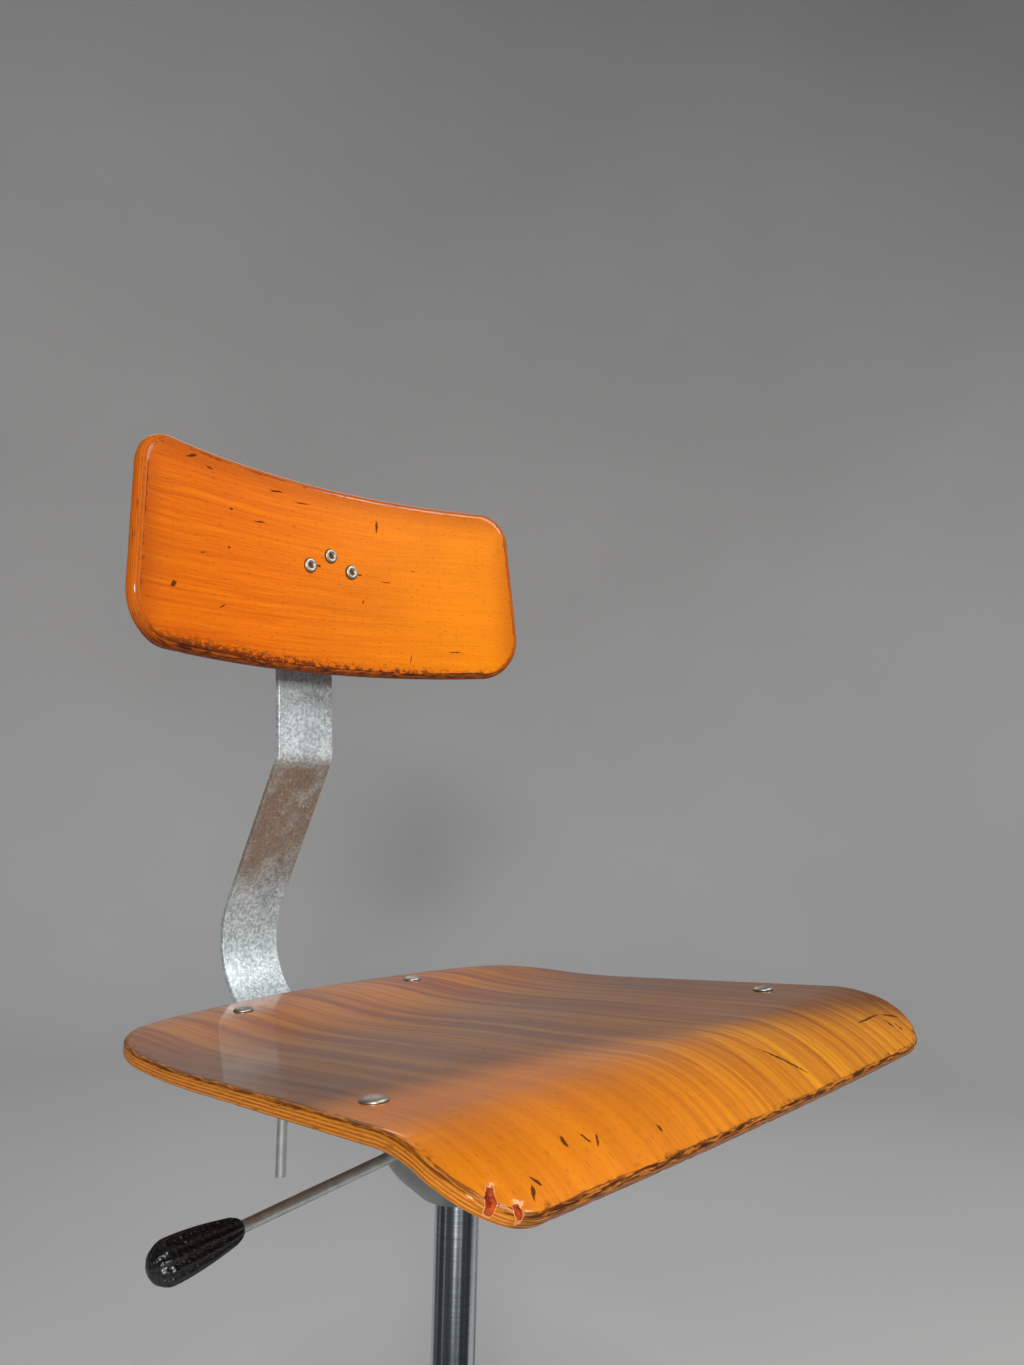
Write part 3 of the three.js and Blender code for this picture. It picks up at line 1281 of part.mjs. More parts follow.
function seatGroup() {
  const group = new THREE.Group();
  place(group, "seat_shell", seatShell(), "seatPly");
  for (const spot of SEAT_RIVET_PLACES) place(group, spot.name, seatRivet(spot), "zincPlated");
  place(group, "front_crossbar", crossbar(FRONT_RIVET_X, FRONT_RIVET_Y), "grayEnamel");
  place(group, "rear_crossbar", crossbar(REAR_RIVET_X, REAR_RIVET_Y), "grayEnamel");
  place(group, "centre_channel", centreChannel(), "grayEnamel");
  place(group, "guide_bolt", guideBolt(), "zincPlated");
  place(group, "bowl_cover", bowlCover(), "grayEnamel");
  place(group, "mechanism_bowl", mechanismBowl(), "grayEnamel");
  place(group, "column_socket", columnSocket(), "zincPlated");
  place(group, "lever_bracket", leverBracket(), "zincPlated");
  place(group, "lever_pin", leverPin(), "zincPlated");
  place(group, "lever_arm", leverArm(), "zincPlated");
  place(group, "lever_grip", leverGrip(), "blackPlastic");
  return group;
}

function backGroup() {
  const group = new THREE.Group();
  place(group, "back_strip", backStrip(), "galvanised");
  place(group, "strip_stop_pin", stopPin(), "zincPlated");
  place(group, "clamp_rod", clampRod(), "zincPlated");
  place(group, "clamp_cam", clampCam(), "zincPlated");

  const slider = sliderFrame();
  place(slider, "height_sleeve", slidingSleeve(), "blackEnamel");
  place(slider, "hinge_pin", hingePin(), "zincPlated");
  place(slider, "back_screw", backScrew(), "zincPlated");
  place(slider, "back_knob", backKnob(), "blackPlastic");
  group.add(slider);

  const backrest = backrestFrame();
  place(backrest, "backrest_board", backBoard(), "backPly");
  place(backrest, "bracket_plate", bracketPlate(), "blackEnamel");
  BACK_RIVETS.forEach((at, i) => place(backrest, `back_rivet_${i + 1}`, backRivet(at), "zincPlated"));
  group.add(backrest);
  return group;
}

const chair = new THREE.Group();
chair.name = "drafting_chair";
chair.add(baseGroup(), footRingGroup(), columnGroup(), seatGroup(), backGroup());

export default chair;
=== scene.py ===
# %% [markdown]
# # A drafting chair in bent plywood and steel
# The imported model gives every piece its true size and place. This lesson dresses it: the pressings, rods
# and turned pieces that the eye rests on are made again with finer shapes, and each finish gets its own
# material.

# %% Load the frame
import json
import math
from functools import reduce

import bmesh
import bpy
import numpy as np
from mathutils import Matrix, Vector, kdtree, noise


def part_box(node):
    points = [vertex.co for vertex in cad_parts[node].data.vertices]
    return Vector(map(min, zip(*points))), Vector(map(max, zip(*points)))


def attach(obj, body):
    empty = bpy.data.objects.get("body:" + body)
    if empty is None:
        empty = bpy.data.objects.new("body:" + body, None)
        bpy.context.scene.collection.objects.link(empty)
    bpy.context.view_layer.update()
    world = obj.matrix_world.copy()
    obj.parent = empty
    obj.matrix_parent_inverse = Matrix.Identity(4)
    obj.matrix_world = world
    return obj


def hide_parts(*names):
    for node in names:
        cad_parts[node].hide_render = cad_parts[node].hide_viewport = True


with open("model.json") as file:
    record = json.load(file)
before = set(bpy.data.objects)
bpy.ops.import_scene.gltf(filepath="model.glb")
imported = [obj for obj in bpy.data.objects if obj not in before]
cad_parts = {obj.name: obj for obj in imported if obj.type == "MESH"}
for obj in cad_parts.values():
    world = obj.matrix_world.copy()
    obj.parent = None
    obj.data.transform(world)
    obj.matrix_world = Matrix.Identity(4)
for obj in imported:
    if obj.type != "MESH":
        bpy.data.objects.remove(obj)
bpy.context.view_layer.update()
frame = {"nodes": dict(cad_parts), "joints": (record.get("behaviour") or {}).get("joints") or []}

MM = 0.001
TURN = 2 * math.pi
QUARTER = math.pi / 2
scene = bpy.context.scene

# %% [markdown]
# ## Maths in a node tree
# A finish or a Geometry Nodes shape is a formula. A small class wraps a socket, so that `1 - mask * 0.5`
# adds the Math nodes that it needs, and one method adds every other kind of node. The same class serves
# both kinds of tree.


# %% A socket that can be reckoned with
class Wire:
    """An output socket of a node. Python's operators on it add Math nodes."""

    def __init__(self, graph, socket):
        self.graph = graph
        self.socket = socket

    def maths(self, operation, *others):
        return self.graph.add("ShaderNodeMath", {"operation": operation}, [self, *others])

    def __add__(self, other):
        return self.maths("ADD", other)

    __radd__ = __add__

    def __sub__(self, other):
        return self.maths("SUBTRACT", other)

    def __rsub__(self, other):
        return self.graph.add("ShaderNodeMath", {"operation": "SUBTRACT"}, [other, self])

    def __mul__(self, other):
        return self.maths("MULTIPLY", other)

    __rmul__ = __mul__

    def __truediv__(self, other):
        return self.maths("DIVIDE", other)

    def __pow__(self, other):
        return self.maths("POWER", other)

    def ramped(self, low, high):
        """0 below `low`, 1 above `high`, and a soft step between."""
        settings = {"interpolation_type": "SMOOTHSTEP"}
        inputs = {"Value": self, "From Min": low, "From Max": high}
        return self.graph.add("ShaderNodeMapRange", settings, inputs)

    def larger(self, other):
        return self.maths("MAXIMUM", other)

    def length(self):
        """The length of a vector."""
        return self.graph.add("ShaderNodeVectorMath", {"operation": "LENGTH"}, [self], output=1)

    def size(self):
        return self.maths("ABSOLUTE")

    def fraction(self):
        return self.maths("FRACT")

    def sine(self):
        return self.maths("SINE")

    def cosine(self):
        return self.maths("COSINE")

    def parts(self):
        """The x, y and z of a vector."""
        node = self.graph.tree.nodes.new("ShaderNodeSeparateXYZ")
        self.graph.feed(node.inputs[0], self)
        return [Wire(self.graph, output) for output in node.outputs]


class Graph:
    """A node tree, and the one method that adds nodes to it."""

    def __init__(self, tree):
        self.tree = tree

    def feed(self, socket, value):
        if isinstance(value, Wire):
            self.tree.links.new(value.socket, socket)
        else:
            socket.default_value = value

    def add(self, kind, settings=None, inputs=None, output=0):
        """A node of that kind: its settings first, then a value or a wire for each input that is given."""
        node = self.tree.nodes.new(kind)
        for name, value in (settings or {}).items():
            if name == "stops":
                self.set_stops(node.color_ramp, value)
            else:
                setattr(node, name, value)
        given = inputs.items() if isinstance(inputs, dict) else enumerate(inputs or [])
        for key, value in given:
            self.feed(node.inputs[key], value)
        return Wire(self, node.outputs[output])

    @staticmethod
    def set_stops(ramp, stops):
        while len(ramp.elements) < len(stops):
            ramp.elements.new(1)
        for element, (position, colour) in zip(ramp.elements, stops):
            element.position = position
            element.color = colour

    def point(self, x=0.0, y=0.0, z=0.0):
        return self.add("ShaderNodeCombineXYZ", inputs=[x, y, z])

    def noise(self, at, scale=1.0, detail=2.0, roughness=0.5):
        inputs = {"Vector": at, "Scale": scale, "Detail": detail, "Roughness": roughness}
        return self.add("ShaderNodeTexNoise", inputs=inputs)

    def blend(self, share, first, second, how="MIX"):
        """Mixes two colours. Inputs 6 and 7 of a Mix node are its colours, and output 2 is the mixed one."""
        settings = {"data_type": "RGBA", "blend_type": how, "clamp_factor": True}
        return self.add("ShaderNodeMix", settings, {0: share, 6: first, 7: second}, output=2)

    def shade(self, factor, stops):
        return self.add("ShaderNodeValToRGB", {"stops": stops}, {"Fac": factor})


# %% [markdown]
# ## Colours and new materials
# Colours are picked as a painter would name them, in the 0 to 255 scale, and turned into the linear values
# that the renderer works in. A finish is a function that makes one material and returns it.


# %% Colour and material helpers
def rgb(red, green, blue):
    """A linear colour from a picked one."""
    picked = [channel / 255 for channel in (red, green, blue)]
    linear = [c / 12.92 if c <= 0.04045 else ((c + 0.055) / 1.055) ** 2.4 for c in picked]
    return (*linear, 1.0)


def new_material(name):
    material = bpy.data.materials.new(name)
    material.use_nodes = True
    graph = Graph(material.node_tree)
    shader = material.node_tree.nodes["Principled BSDF"]
    return material, graph, shader


def set_shader(graph, shader, **sockets):
    """Feeds the shader's sockets, named with _ in place of a space."""
    for name, value in sockets.items():
        graph.feed(shader.inputs[name.replace("_", " ")], value)


def roughen(graph, shader, height, strength, distance=0.2 * MM):
    """Bump from a height, with its distance in metres."""
    inputs = {"Height": height, "Strength": strength, "Distance": distance}
    graph.feed(shader.inputs["Normal"], graph.add("ShaderNodeBump", inputs=inputs))


def dress(piece, material):
    piece.data.materials.clear()
    piece.data.materials.append(material)
    return piece


# %% [markdown]
# ## Varnished beech plywood
# The faces are rotary-cut beech under old amber varnish: long growth lines that wander, fine fibres, and
# the short dark flecks that only beech has. The streaks are a noise that is stretched along the grain, and
# the few sharp lines among them are the contours of a second, slower noise. The mesh carries the grain's
# own coordinates as a UV map, the depth through the layers, and the distance from the edge, so the figure
# follows the bends and the worn rim shows the layers.


# %% The wood's figure
def grain_coordinates(graph):
    """Distance across the grain and along it, in metres, from the piece's UV map."""
    uv = graph.add("ShaderNodeUVMap", {"uv_map": "grain"})
    across, along, _ = uv.parts()
    return across, along


def attribute(graph, name):
    return graph.add("ShaderNodeAttribute", {"attribute_name": name}, output=2)


STREAK_SHARE = 0.78  # the rest of the figure is growth lines


def growth_lines(graph, across, along, spread, count, seed):
    """Long streaks of many widths that wander together, with a few sharp growth lines among them."""
    drift = (graph.noise(graph.point(across * 4, along * 3, seed), detail=2) - 0.5) * 0.05
    over = across + drift
    streaks = graph.noise(graph.point(over * spread * 8, along * 1.8, seed + 3), detail=5, roughness=0.64)
    field = graph.noise(graph.point(over * spread, along * 0.5, seed + 5), detail=2, roughness=0.4)
    return streaks.ramped(0.28, 0.72) * STREAK_SHARE + (field * count).fraction() * (1 - STREAK_SHARE)


def fibres(graph, across, along):
    fine = graph.noise(graph.point(across * 900, along * 22, 1.0), detail=2)
    broad = graph.noise(graph.point(across * 190, along * 5, 4.0), detail=3)
    return fine * 0.5 + broad * 0.5


def flecks(graph, across, along):
    """The short dark dashes of beech."""
    spots = graph.noise(graph.point(across * 1100, along * 190, 7.0), detail=0)
    return spots.ramped(0.68, 0.78)


def inside_mark(across, along, side, forward, width, length, lean):
    """Where a point lies in a mark, in half widths and half lengths. `lean` is in degrees off the grain."""
    turned = math.radians(lean)
    over = across - side * MM
    down = along - forward * MM
    sideways = (over * math.cos(turned) - down * math.sin(turned)) / (width * MM / 2)
    lengthwise = (down * math.cos(turned) + over * math.sin(turned)) / (length * MM / 2)
    return sideways, lengthwise


def marks(graph, across, along, places):
    """Dents and splits. Each is (across mm, along mm, length mm, width mm, lean in degrees)."""
    ragged = graph.noise(graph.point(across * 700, along * 300, 9.0), detail=2) - 0.5
    masks = []
    for side, forward, length, width, lean in places:
        sideways, lengthwise = inside_mark(across, along, side, forward, width, length, lean)
        reach = lengthwise * lengthwise + (sideways + ragged * 2.4) ** 2.0
        masks.append(1 - reach.ramped(0.35, 1.0))
    return reduce(Wire.larger, masks)


RING_WIDTH = 1.1  # mm


def rivet_shadow_rings(graph, across, along, heads):
    """A painted shadow ring round each rivet head, at (across mm, along mm, radius mm)."""
    masks = []
    for side, forward, radius in heads:
        reach = graph.point(across - side * MM, along - forward * MM).length()
        masks.append(1 - reach.ramped(radius * MM, (radius + RING_WIDTH) * MM))
    return reduce(Wire.larger, masks)


def veneer_tears(graph, across, along, tears):
    """1 deep inside a torn place and 0 outside it, with a splintered border between."""
    ragged = graph.noise(graph.point(across * 420, along * 150, 31.0), detail=3) - 0.5
    masks = []
    for side, forward, width, length, _, lean in tears:
        sideways, lengthwise = inside_mark(across, along, side, forward, width, length, lean)
        reach = graph.point(sideways, lengthwise).length() + ragged * 0.9
        masks.append(1 - reach.ramped(0.55, 1.0))
    return reduce(Wire.larger, masks)


# %% The wood's colours
def wood_face(graph, across, along, look, tone, fleck):
    """The varnished face: streaks and fibres, tinted by place, with broad brown patches and beech flecks."""
    face = graph.shade(tone, look["face_stops"])
    face = look["tint"](graph, across, along, face)
    patches = graph.noise(graph.point(across * 11, along * 7, look["seed"] + 8), detail=3)
    face = graph.blend(patches.ramped(0.35, 0.75) * 0.16, face, rgb(120, 62, 22), "MULTIPLY")
    return graph.blend(fleck * 0.35, face, rgb(110, 52, 10))


def wood_rim(graph, across, along, look, depth, ripple, stripe, coarse):
    """Glued layers, light and dark by turns, pale patches of painted highlight, and grime where hands and
    desks have rubbed.
    """
    rim = graph.blend(stripe * coarse.ramped(0.30, 0.60), *look["rim_colours"])
    # The pale patches blended in here are a painted highlight on the rim.
    rim = graph.blend(coarse.ramped(0.50, 0.75) * 0.3, rim, rgb(224, 142, 52))
    rim = graph.blend(coarse.ramped(0.30, 0.44), rgb(84, 38, 8), rim)
    arris = 1 - (depth + ripple * 0.3).ramped(0.08, 0.30)
    rim = graph.blend(arris * coarse.ramped(0.36, 0.56) * look["arris_wear"], rim, rgb(66, 28, 6))
    dirty = look["dirty_rim"](across, along)
    return graph.blend(dirty * coarse.ramped(0.34, 0.64), rim, rgb(60, 24, 6))


def edge_wear(graph, face, edge, scuff, blot, grime):
    """Varnish goes first along the arris, and dirt settles beside it."""
    face = graph.blend(grime * 0.75, face, rgb(58, 24, 8))
    chipped = 1 - (edge - scuff * 2.2 * MM).size().ramped(0.1 * MM, 0.9 * MM)
    return graph.blend(chipped * blot.ramped(0.40, 0.55) * 0.8, face, rgb(52, 24, 10))


def torn_colour(graph, colour, torn, scuff):
    """Pale splinters round each tear, and the red-brown layer below at its middle."""
    bed = graph.blend(scuff.ramped(0.42, 0.60), rgb(112, 30, 8), rgb(168, 72, 30))
    splinter = graph.blend(torn.ramped(0.12, 0.45), rgb(214, 146, 92), bed)
    return graph.blend(torn.ramped(0.05, 0.12), colour, splinter)


# %% The wood's material
def plywood(name, look):
    """A plywood finish. `look` holds what differs between the seat and the backrest."""
    material, graph, shader = new_material(name)
    across, along = grain_coordinates(graph)
    depth = attribute(graph, "depth")
    edge = attribute(graph, "edge")

    lines = growth_lines(graph, across, along, look["spread"], look["count"], look["seed"])
    fibre = fibres(graph, across, along)
    fleck = flecks(graph, across, along)
    tone = lines * look["contrast"] + fibre * (1 - look["contrast"])
    face = wood_face(graph, across, along, look, tone, fleck)

    ripple = graph.noise(graph.point(across * 40, along * 40, 2.0), detail=4) - 0.5
    layer = ((depth + ripple * 0.06) * look["layers"]).fraction()
    stripe = layer.ramped(0.25, 0.50) * (1 - layer.ramped(0.75, 0.98))
    coarse = graph.noise(graph.point(across * 90, along * 90, depth * 16), detail=5, roughness=0.6)
    rim = wood_rim(graph, across, along, look, depth, ripple, stripe, coarse)
    on_rim = 1 - (edge + ripple * 1.5 * MM).ramped(0.3 * MM, 1.2 * MM)

    scuff = graph.noise(graph.point(across * 160, along * 160, 5.0), detail=4, roughness=0.65)
    blot = graph.noise(graph.point(across * 26, along * 26, 6.0), detail=2)
    near = 1 - (edge + (blot - 0.5) * 9 * MM).ramped(0.0, 4.5 * MM)
    grime = near * scuff.ramped(0.50, 0.66)
    face = edge_wear(graph, face, edge, scuff, blot, grime)

    used_side = 1 - depth.ramped(0.3, 0.7)
    mark = marks(graph, across, along, look["marks"]) * used_side
    # Painted shadow in the gap round each rivet head, in the same dark as the marks.
    ring = rivet_shadow_rings(graph, across, along, look["heads"]) * used_side
    face = graph.blend(mark.larger(ring) * 0.88, face, rgb(46, 18, 8))
    colour = graph.blend(on_rim, face, rim)
    torn = 0.0
    if look["tears"]:
        torn = veneer_tears(graph, across, along, look["tears"]) * used_side
        colour = torn_colour(graph, colour, torn, scuff)

    smear = graph.noise(graph.point(across * 14, along * 9, 12.0), detail=4)
    rough = mark * 0.3 + smear * 0.14 + on_rim * 0.2 + torn * 0.4 + grime * 0.2 + 0.40
    coat = (1 - on_rim * 0.5) * (1 - mark) * (1 - torn) * (0.88 - smear * 0.45)
    set_shader(graph, shader, Base_Color=colour, Roughness=rough, Coat_Weight=coat)
    set_shader(graph, shader, Coat_Roughness=0.09, Coat_IOR=1.36, Specular_IOR_Level=0.12)
    height = fibre * 0.25 + lines * 0.12 - fleck * 0.2 - mark * 1.6 - on_rim * stripe * 0.9 + coarse * on_rim
    roughen(graph, shader, height, 0.35)
    return material


# %% [markdown]
# The seat is tanner and more deeply lined than the backrest. Its front lip on the sitter's right is painted
# the deepest orange, and the pan is painted brown.


# %% Seat and backrest finishes
def seat_tint(graph, across, along, face):
    """Brown in the pan, orange on the lip, and paler towards the sitter's left."""
    wander = (graph.noise(graph.point(across * 5, along * 5, 21.0), detail=2) - 0.5) * 0.05
    pan = (along + wander + across * 0.06 + across.larger(0.0) * 0.32).ramped(0.072, 0.122)
    left = (across + wander).ramped(-0.14, 0.10)
    calm = graph.blend((1 - left) * 0.7, face, rgb(234, 170, 104))
    lip = graph.blend(left, rgb(230, 182, 1), rgb(226, 200, 40))
    warm = graph.blend(1.0, calm, lip, "MULTIPLY")
    rear = graph.blend(along.ramped(0.20, 0.38), rgb(160, 136, 6), rgb(216, 172, 14))
    rear = graph.blend((across + wander).size().ramped(0.10, 0.19) * 0.6, rear, rgb(110, 84, 6))
    browned = graph.blend(1.0, face, rear, "MULTIPLY")
    return graph.blend(pan, warm, browned)


SEAT_MARKS = [
    (-170, 10, 9, 2.6, 35),
    (-165, 14, 7, 2.0, -30),
    (-136, 26, 8, 2.8, 12),
    (-124, 24, 7, 1.8, -18),
    (-119, 21, 9, 1.6, 40),
    (-80, 16, 5, 2.4, 0),
    (47, 25, 36, 2.2, -28),
    (159, 29, 34, 1.8, 90),
    (182, 25, 18, 2.2, 117),
    (172, 20, 8, 2.2, 0),
    (177, 16, 8, 2.2, 0),
    (190, 42, 10, 1.6, 10),
    (-60, 150, 5, 0.9, 75),
    (20, 190, 16, 0.7, 20),
]
# Each tear is (across mm, along mm, width mm, length mm, depth mm, lean in degrees).
SEAT_TEARS = [(-190, 14, 6, 15, 0.9, 38), (-182, 6, 5, 8, 0.8, 30)]
SEAT_HEADS = [(-170, 110, 6.6), (170, 110, 6.6), (-75.5, 362, 6.6), (75.5, 362, 6.6)]
SEAT_LOOK = {
    "face_stops": [
        (0.15, rgb(128, 72, 34)),
        (0.38, rgb(190, 124, 66)),
        (0.60, rgb(230, 168, 104)),
        (0.85, rgb(250, 204, 144)),
    ],
    "rim_colours": (rgb(212, 130, 36), rgb(132, 70, 18)),
    "spread": 13,
    "count": 22,
    "marks": SEAT_MARKS,
    "heads": SEAT_HEADS,
    "tears": SEAT_TEARS,
    "layers": 5,
    "seed": 2.0,
    "contrast": 0.54,
    "arris_wear": 0.8,
    "tint": seat_tint,
    "dirty_rim": lambda across, along: 1 - along.ramped(1 * MM, 6 * MM),
}
seat_wood = plywood("seat_varnish", SEAT_LOOK)


def back_tint(graph, across, along, face):
    """Yellower towards the sitter's left, and grimy along the lower edge and the lower right corner."""
    faded = graph.blend(along.ramped(-0.1, 0.17) * 0.6, face, rgb(232, 140, 1))
    right = (along * -1).ramped(-0.03, 0.17)
    low = (across * -1 + right * 0.004).ramped(0.054, 0.065)
    dirt = graph.noise(graph.point(across * 300, along * 190, 14.0), detail=5, roughness=0.75)
    grubby = low * (dirt + low * 0.16 + right * 0.08).ramped(0.60, 0.68)
    soiled = graph.blend(grubby, faded, rgb(40, 12, 2))
    darker = across.ramped(0.050, 0.078).larger(along.size().ramped(0.148, 0.178)).larger(low * 0.7)
    return graph.blend(darker * 0.55, soiled, rgb(150, 62, 2))


BACK_MARKS = [
    (36, -66, 12, 1.4, 8),
    (52, 44, 12, 2.6, 88),
    (8, 52, 10, 1.2, 0),
    (-44, 116, 14, 1.2, 3),
    (-52, 74, 9, 1.0, 80),
    (62, -50, 14, 1.8, 8),
    (58, -26, 16, 1.2, 4),
    (40, -92, 4, 2.4, 0),
    (12, -94, 3, 2.0, 0),
    (-22, -144, 7, 4.0, 35),
    (-30, -100, 8, 1.0, 30),
    (4, -118, 6, 1.0, 10),
    (20, 78, 5, 1.0, 0),
    (-10, 30, 4, 1.4, 70),
    (68, -128, 12, 2.0, 20),
    (64, -112, 8, 1.6, -8),
    (13, -12, 7, 2.6, 0),
    (11, 27, 5, 1.6, 0),
]
BACK_HEADS = [(12, -19.3, 5.2), (22, 0, 5.2), (12, 19.3, 5.2)]
BACK_LOOK = {
    "face_stops": [(0.25, rgb(178, 74, 0)), (0.5, rgb(208, 100, 0)), (0.75, rgb(226, 122, 1))],
    "rim_colours": (rgb(190, 92, 6), rgb(166, 76, 6)),
    "spread": 60,
    "count": 5,
    "marks": BACK_MARKS,
    "heads": BACK_HEADS,
    "tears": [],
    "layers": 7,
    "seed": 5.0,
    "contrast": 0.24,
    "arris_wear": 0.25,
    "tint": back_tint,
    "dirty_rim": lambda across, along: (across * -1).ramped(0.040, 0.064),
}
back_wood = plywood("backrest_varnish", BACK_LOOK)
print("wood:", seat_wood.name, back_wood.name)

# %% [markdown]
# ## Metals, enamels and plastics
# Object coordinates are metres, so each scale below is cells per metre. Galvanised strip shows a spangle of
# flat crystals. Plated rods keep faint drawing lines. The column is ground, so it stretches what it mirrors
# into upright bands, and dark and bright upright bands of painted reflection are in its colour as well.
# Enamel is slightly pebbled and chips to steel, and mouldings have a fine grain.


# %% Metal finishes
def object_place(graph):
    return graph.add("ShaderNodeTexCoord", output=3)


def stretched(graph, at, x, y, z):
    """Object coordinates scaled by a different amount along each axis."""
    return graph.add("ShaderNodeVectorMath", {"operation": "MULTIPLY"}, [at, (x, y, z)])


# Heights between which the seat's brown reflection is painted on the strip's slant.
SEAT_REFLECTION_FROM = 0.686  # metres above the floor
SEAT_REFLECTION_TO = 0.789


def galvanised():
    """A spangle of crystals, with a painted brown reflection of the seat where the strip slants."""
    material, graph, shader = new_material("galvanised_steel")
    at = object_place(graph)
    crystals = graph.add("ShaderNodeTexVoronoi", {"feature": "F1"}, {"Vector": at, "Scale": 560.0}, output=1)
    red, green, _ = crystals.parts()
    cloud = graph.noise(stretched(graph, at, 46, 46, 30), detail=5, roughness=0.6)
    soft = graph.noise(at, scale=420, detail=3)
    lines = graph.noise(stretched(graph, at, 700, 700, 14), detail=2)
    tone = red * 0.27 + cloud * 0.35 + soft * 0.2 + lines * 0.25
    stops = [(0.25, rgb(118, 128, 134)), (0.5, rgb(176, 186, 190)), (0.8, rgb(228, 236, 238))]
    colour = graph.shade(tone, stops)
    _, _, height = at.parts()
    reflection_blotch = graph.noise(stretched(graph, at, 40, 40, 18), detail=5, roughness=0.6)
    above_bend = (height + reflection_blotch * 0.03).ramped(SEAT_REFLECTION_FROM, SEAT_REFLECTION_FROM + 0.036)
    above_knee = (height + reflection_blotch * 0.008).ramped(SEAT_REFLECTION_TO - 0.011, SEAT_REFLECTION_TO)
    browned = above_bend * (1 - above_knee)
    # Painted reflection: the seat's brown, with pale flecks in it, on the slanted stretch.
    colour = graph.blend(browned * reflection_blotch.ramped(0.20, 0.50) * 0.72, colour, rgb(128, 98, 62))
    colour = graph.blend(browned * soft.ramped(0.60, 0.72) * 0.6, colour, rgb(220, 206, 184))
    scratch = graph.noise(stretched(graph, at, 260, 900, 34), detail=2).ramped(0.66, 0.76)
    stain = graph.noise(at, scale=70, detail=6, roughness=0.7).ramped(0.62, 0.74)
    colour = graph.blend(stain * 0.4, colour, rgb(240, 244, 244))
    rough = green * 0.08 + cloud * 0.14 + stain * 0.15 - scratch * 0.08 + 0.46
    set_shader(graph, shader, Base_Color=colour, Roughness=rough, Metallic=0.55)
    roughen(graph, shader, soft * 0.5 + red * 0.25 + scratch * 0.5, 0.25, 0.1 * MM)
    return material


def plated(name, tone_low, tone_high, roughness, along):
    """Zinc-plated or nickel-plated steel with faint lines along one axis."""
    material, graph, shader = new_material(name)
    at = object_place(graph)
    scale = [700.0] * 3
    scale["xyz".index(along)] = 18.0
    drawn = graph.noise(stretched(graph, at, *scale), detail=3)
    cloud = graph.noise(at, scale=120, detail=4, roughness=0.6)
    pits = graph.noise(at, scale=900, detail=1).ramped(0.70, 0.78)
    colour = graph.shade(drawn * 0.5 + cloud * 0.5, [(0.3, tone_low), (0.7, tone_high)])
    colour = graph.blend(pits * 0.5, colour, rgb(70, 68, 64))
    rough = roughness + cloud * 0.16 + pits * 0.2
    set_shader(graph, shader, Base_Color=colour, Roughness=rough, Metallic=0.95)
    roughen(graph, shader, drawn * 0.5 + cloud * 0.3 - pits, 0.22, 0.08 * MM)
    return material


def ground_chrome():
    """The column: hard chrome ground round its axis, a little scuffed, with dark and bright upright bands of
    painted reflection in its colour.
    """
    material, graph, shader = new_material("ground_chrome")
    at = object_place(graph)
    rings = graph.noise(stretched(graph, at, 30, 30, 5200), detail=2)
    reflection_bands = graph.noise(stretched(graph, at, 120, 120, 1), detail=2)
    scuff = graph.noise(stretched(graph, at, 900, 900, 26), detail=2).ramped(0.66, 0.78)
    # The stops and the reflection bands paint dark and bright upright reflections into the column's colour.
    stops = [(0.36, rgb(54, 58, 62)), (0.47, rgb(92, 98, 104)), (0.56, rgb(214, 220, 224))]
    colour = graph.shade(reflection_bands * 0.9 + rings * 0.1, stops)
    rough = rings * 0.04 + reflection_bands * 0.05 + scuff * 0.15 + 0.24
    set_shader(graph, shader, Base_Color=colour, Roughness=rough, Metallic=1.0)
    set_shader(graph, shader, Anisotropic=0.85, Anisotropic_Rotation=0.25)
    roughen(graph, shader, rings * 0.6 + reflection_bands * 0.2, 0.10, 0.05 * MM)
    return material


def enamel(name, colour_low, colour_high, metallic, roughness, bare):
    """Paint over steel: a slight pebble, dulled patches, and chips down to `bare` metal."""
    material, graph, shader = new_material(name)
    at = object_place(graph)
    pebble = graph.noise(at, scale=520, detail=2)
    cloud = graph.noise(at, scale=30, detail=5, roughness=0.6)
    chip = graph.noise(at, scale=130, detail=4, roughness=0.7).ramped(0.71, 0.74)
    colour = graph.shade(cloud * 0.7 + pebble * 0.3, [(0.3, colour_low), (0.7, colour_high)])
    colour = graph.blend(chip, colour, bare)
    rough = roughness + cloud * 0.18 + chip * 0.1
    shine = metallic + chip * (0.9 - metallic)
    set_shader(graph, shader, Base_Color=colour, Roughness=rough, Metallic=shine)
    roughen(graph, shader, pebble * 0.4 - chip * 0.9, 0.25, 0.12 * MM)
    return material


def moulded(name, colour_low, colour_high, roughness, grain, depth):
    """A plastic or rubber moulding with a fine pebbled grain and pale rubbed specks."""
    material, graph, shader = new_material(name)
    at = object_place(graph)
    pebble = graph.add("ShaderNodeTexVoronoi", {"feature": "SMOOTH_F1"}, {"Vector": at, "Scale": grain})
    cloud = graph.noise(at, scale=60, detail=4)
    rubbed = graph.noise(at, scale=640, detail=3).ramped(0.66, 0.76)
    colour = graph.shade(cloud, [(0.3, colour_low), (0.7, colour_high)])
    colour = graph.blend(rubbed * 0.35, colour, rgb(120, 118, 112))
    rough = roughness + cloud * 0.12 + rubbed * 0.25
    set_shader(graph, shader, Base_Color=colour, Roughness=rough)
    roughen(graph, shader, pebble + cloud * 0.4, 1.0, depth)
    return material


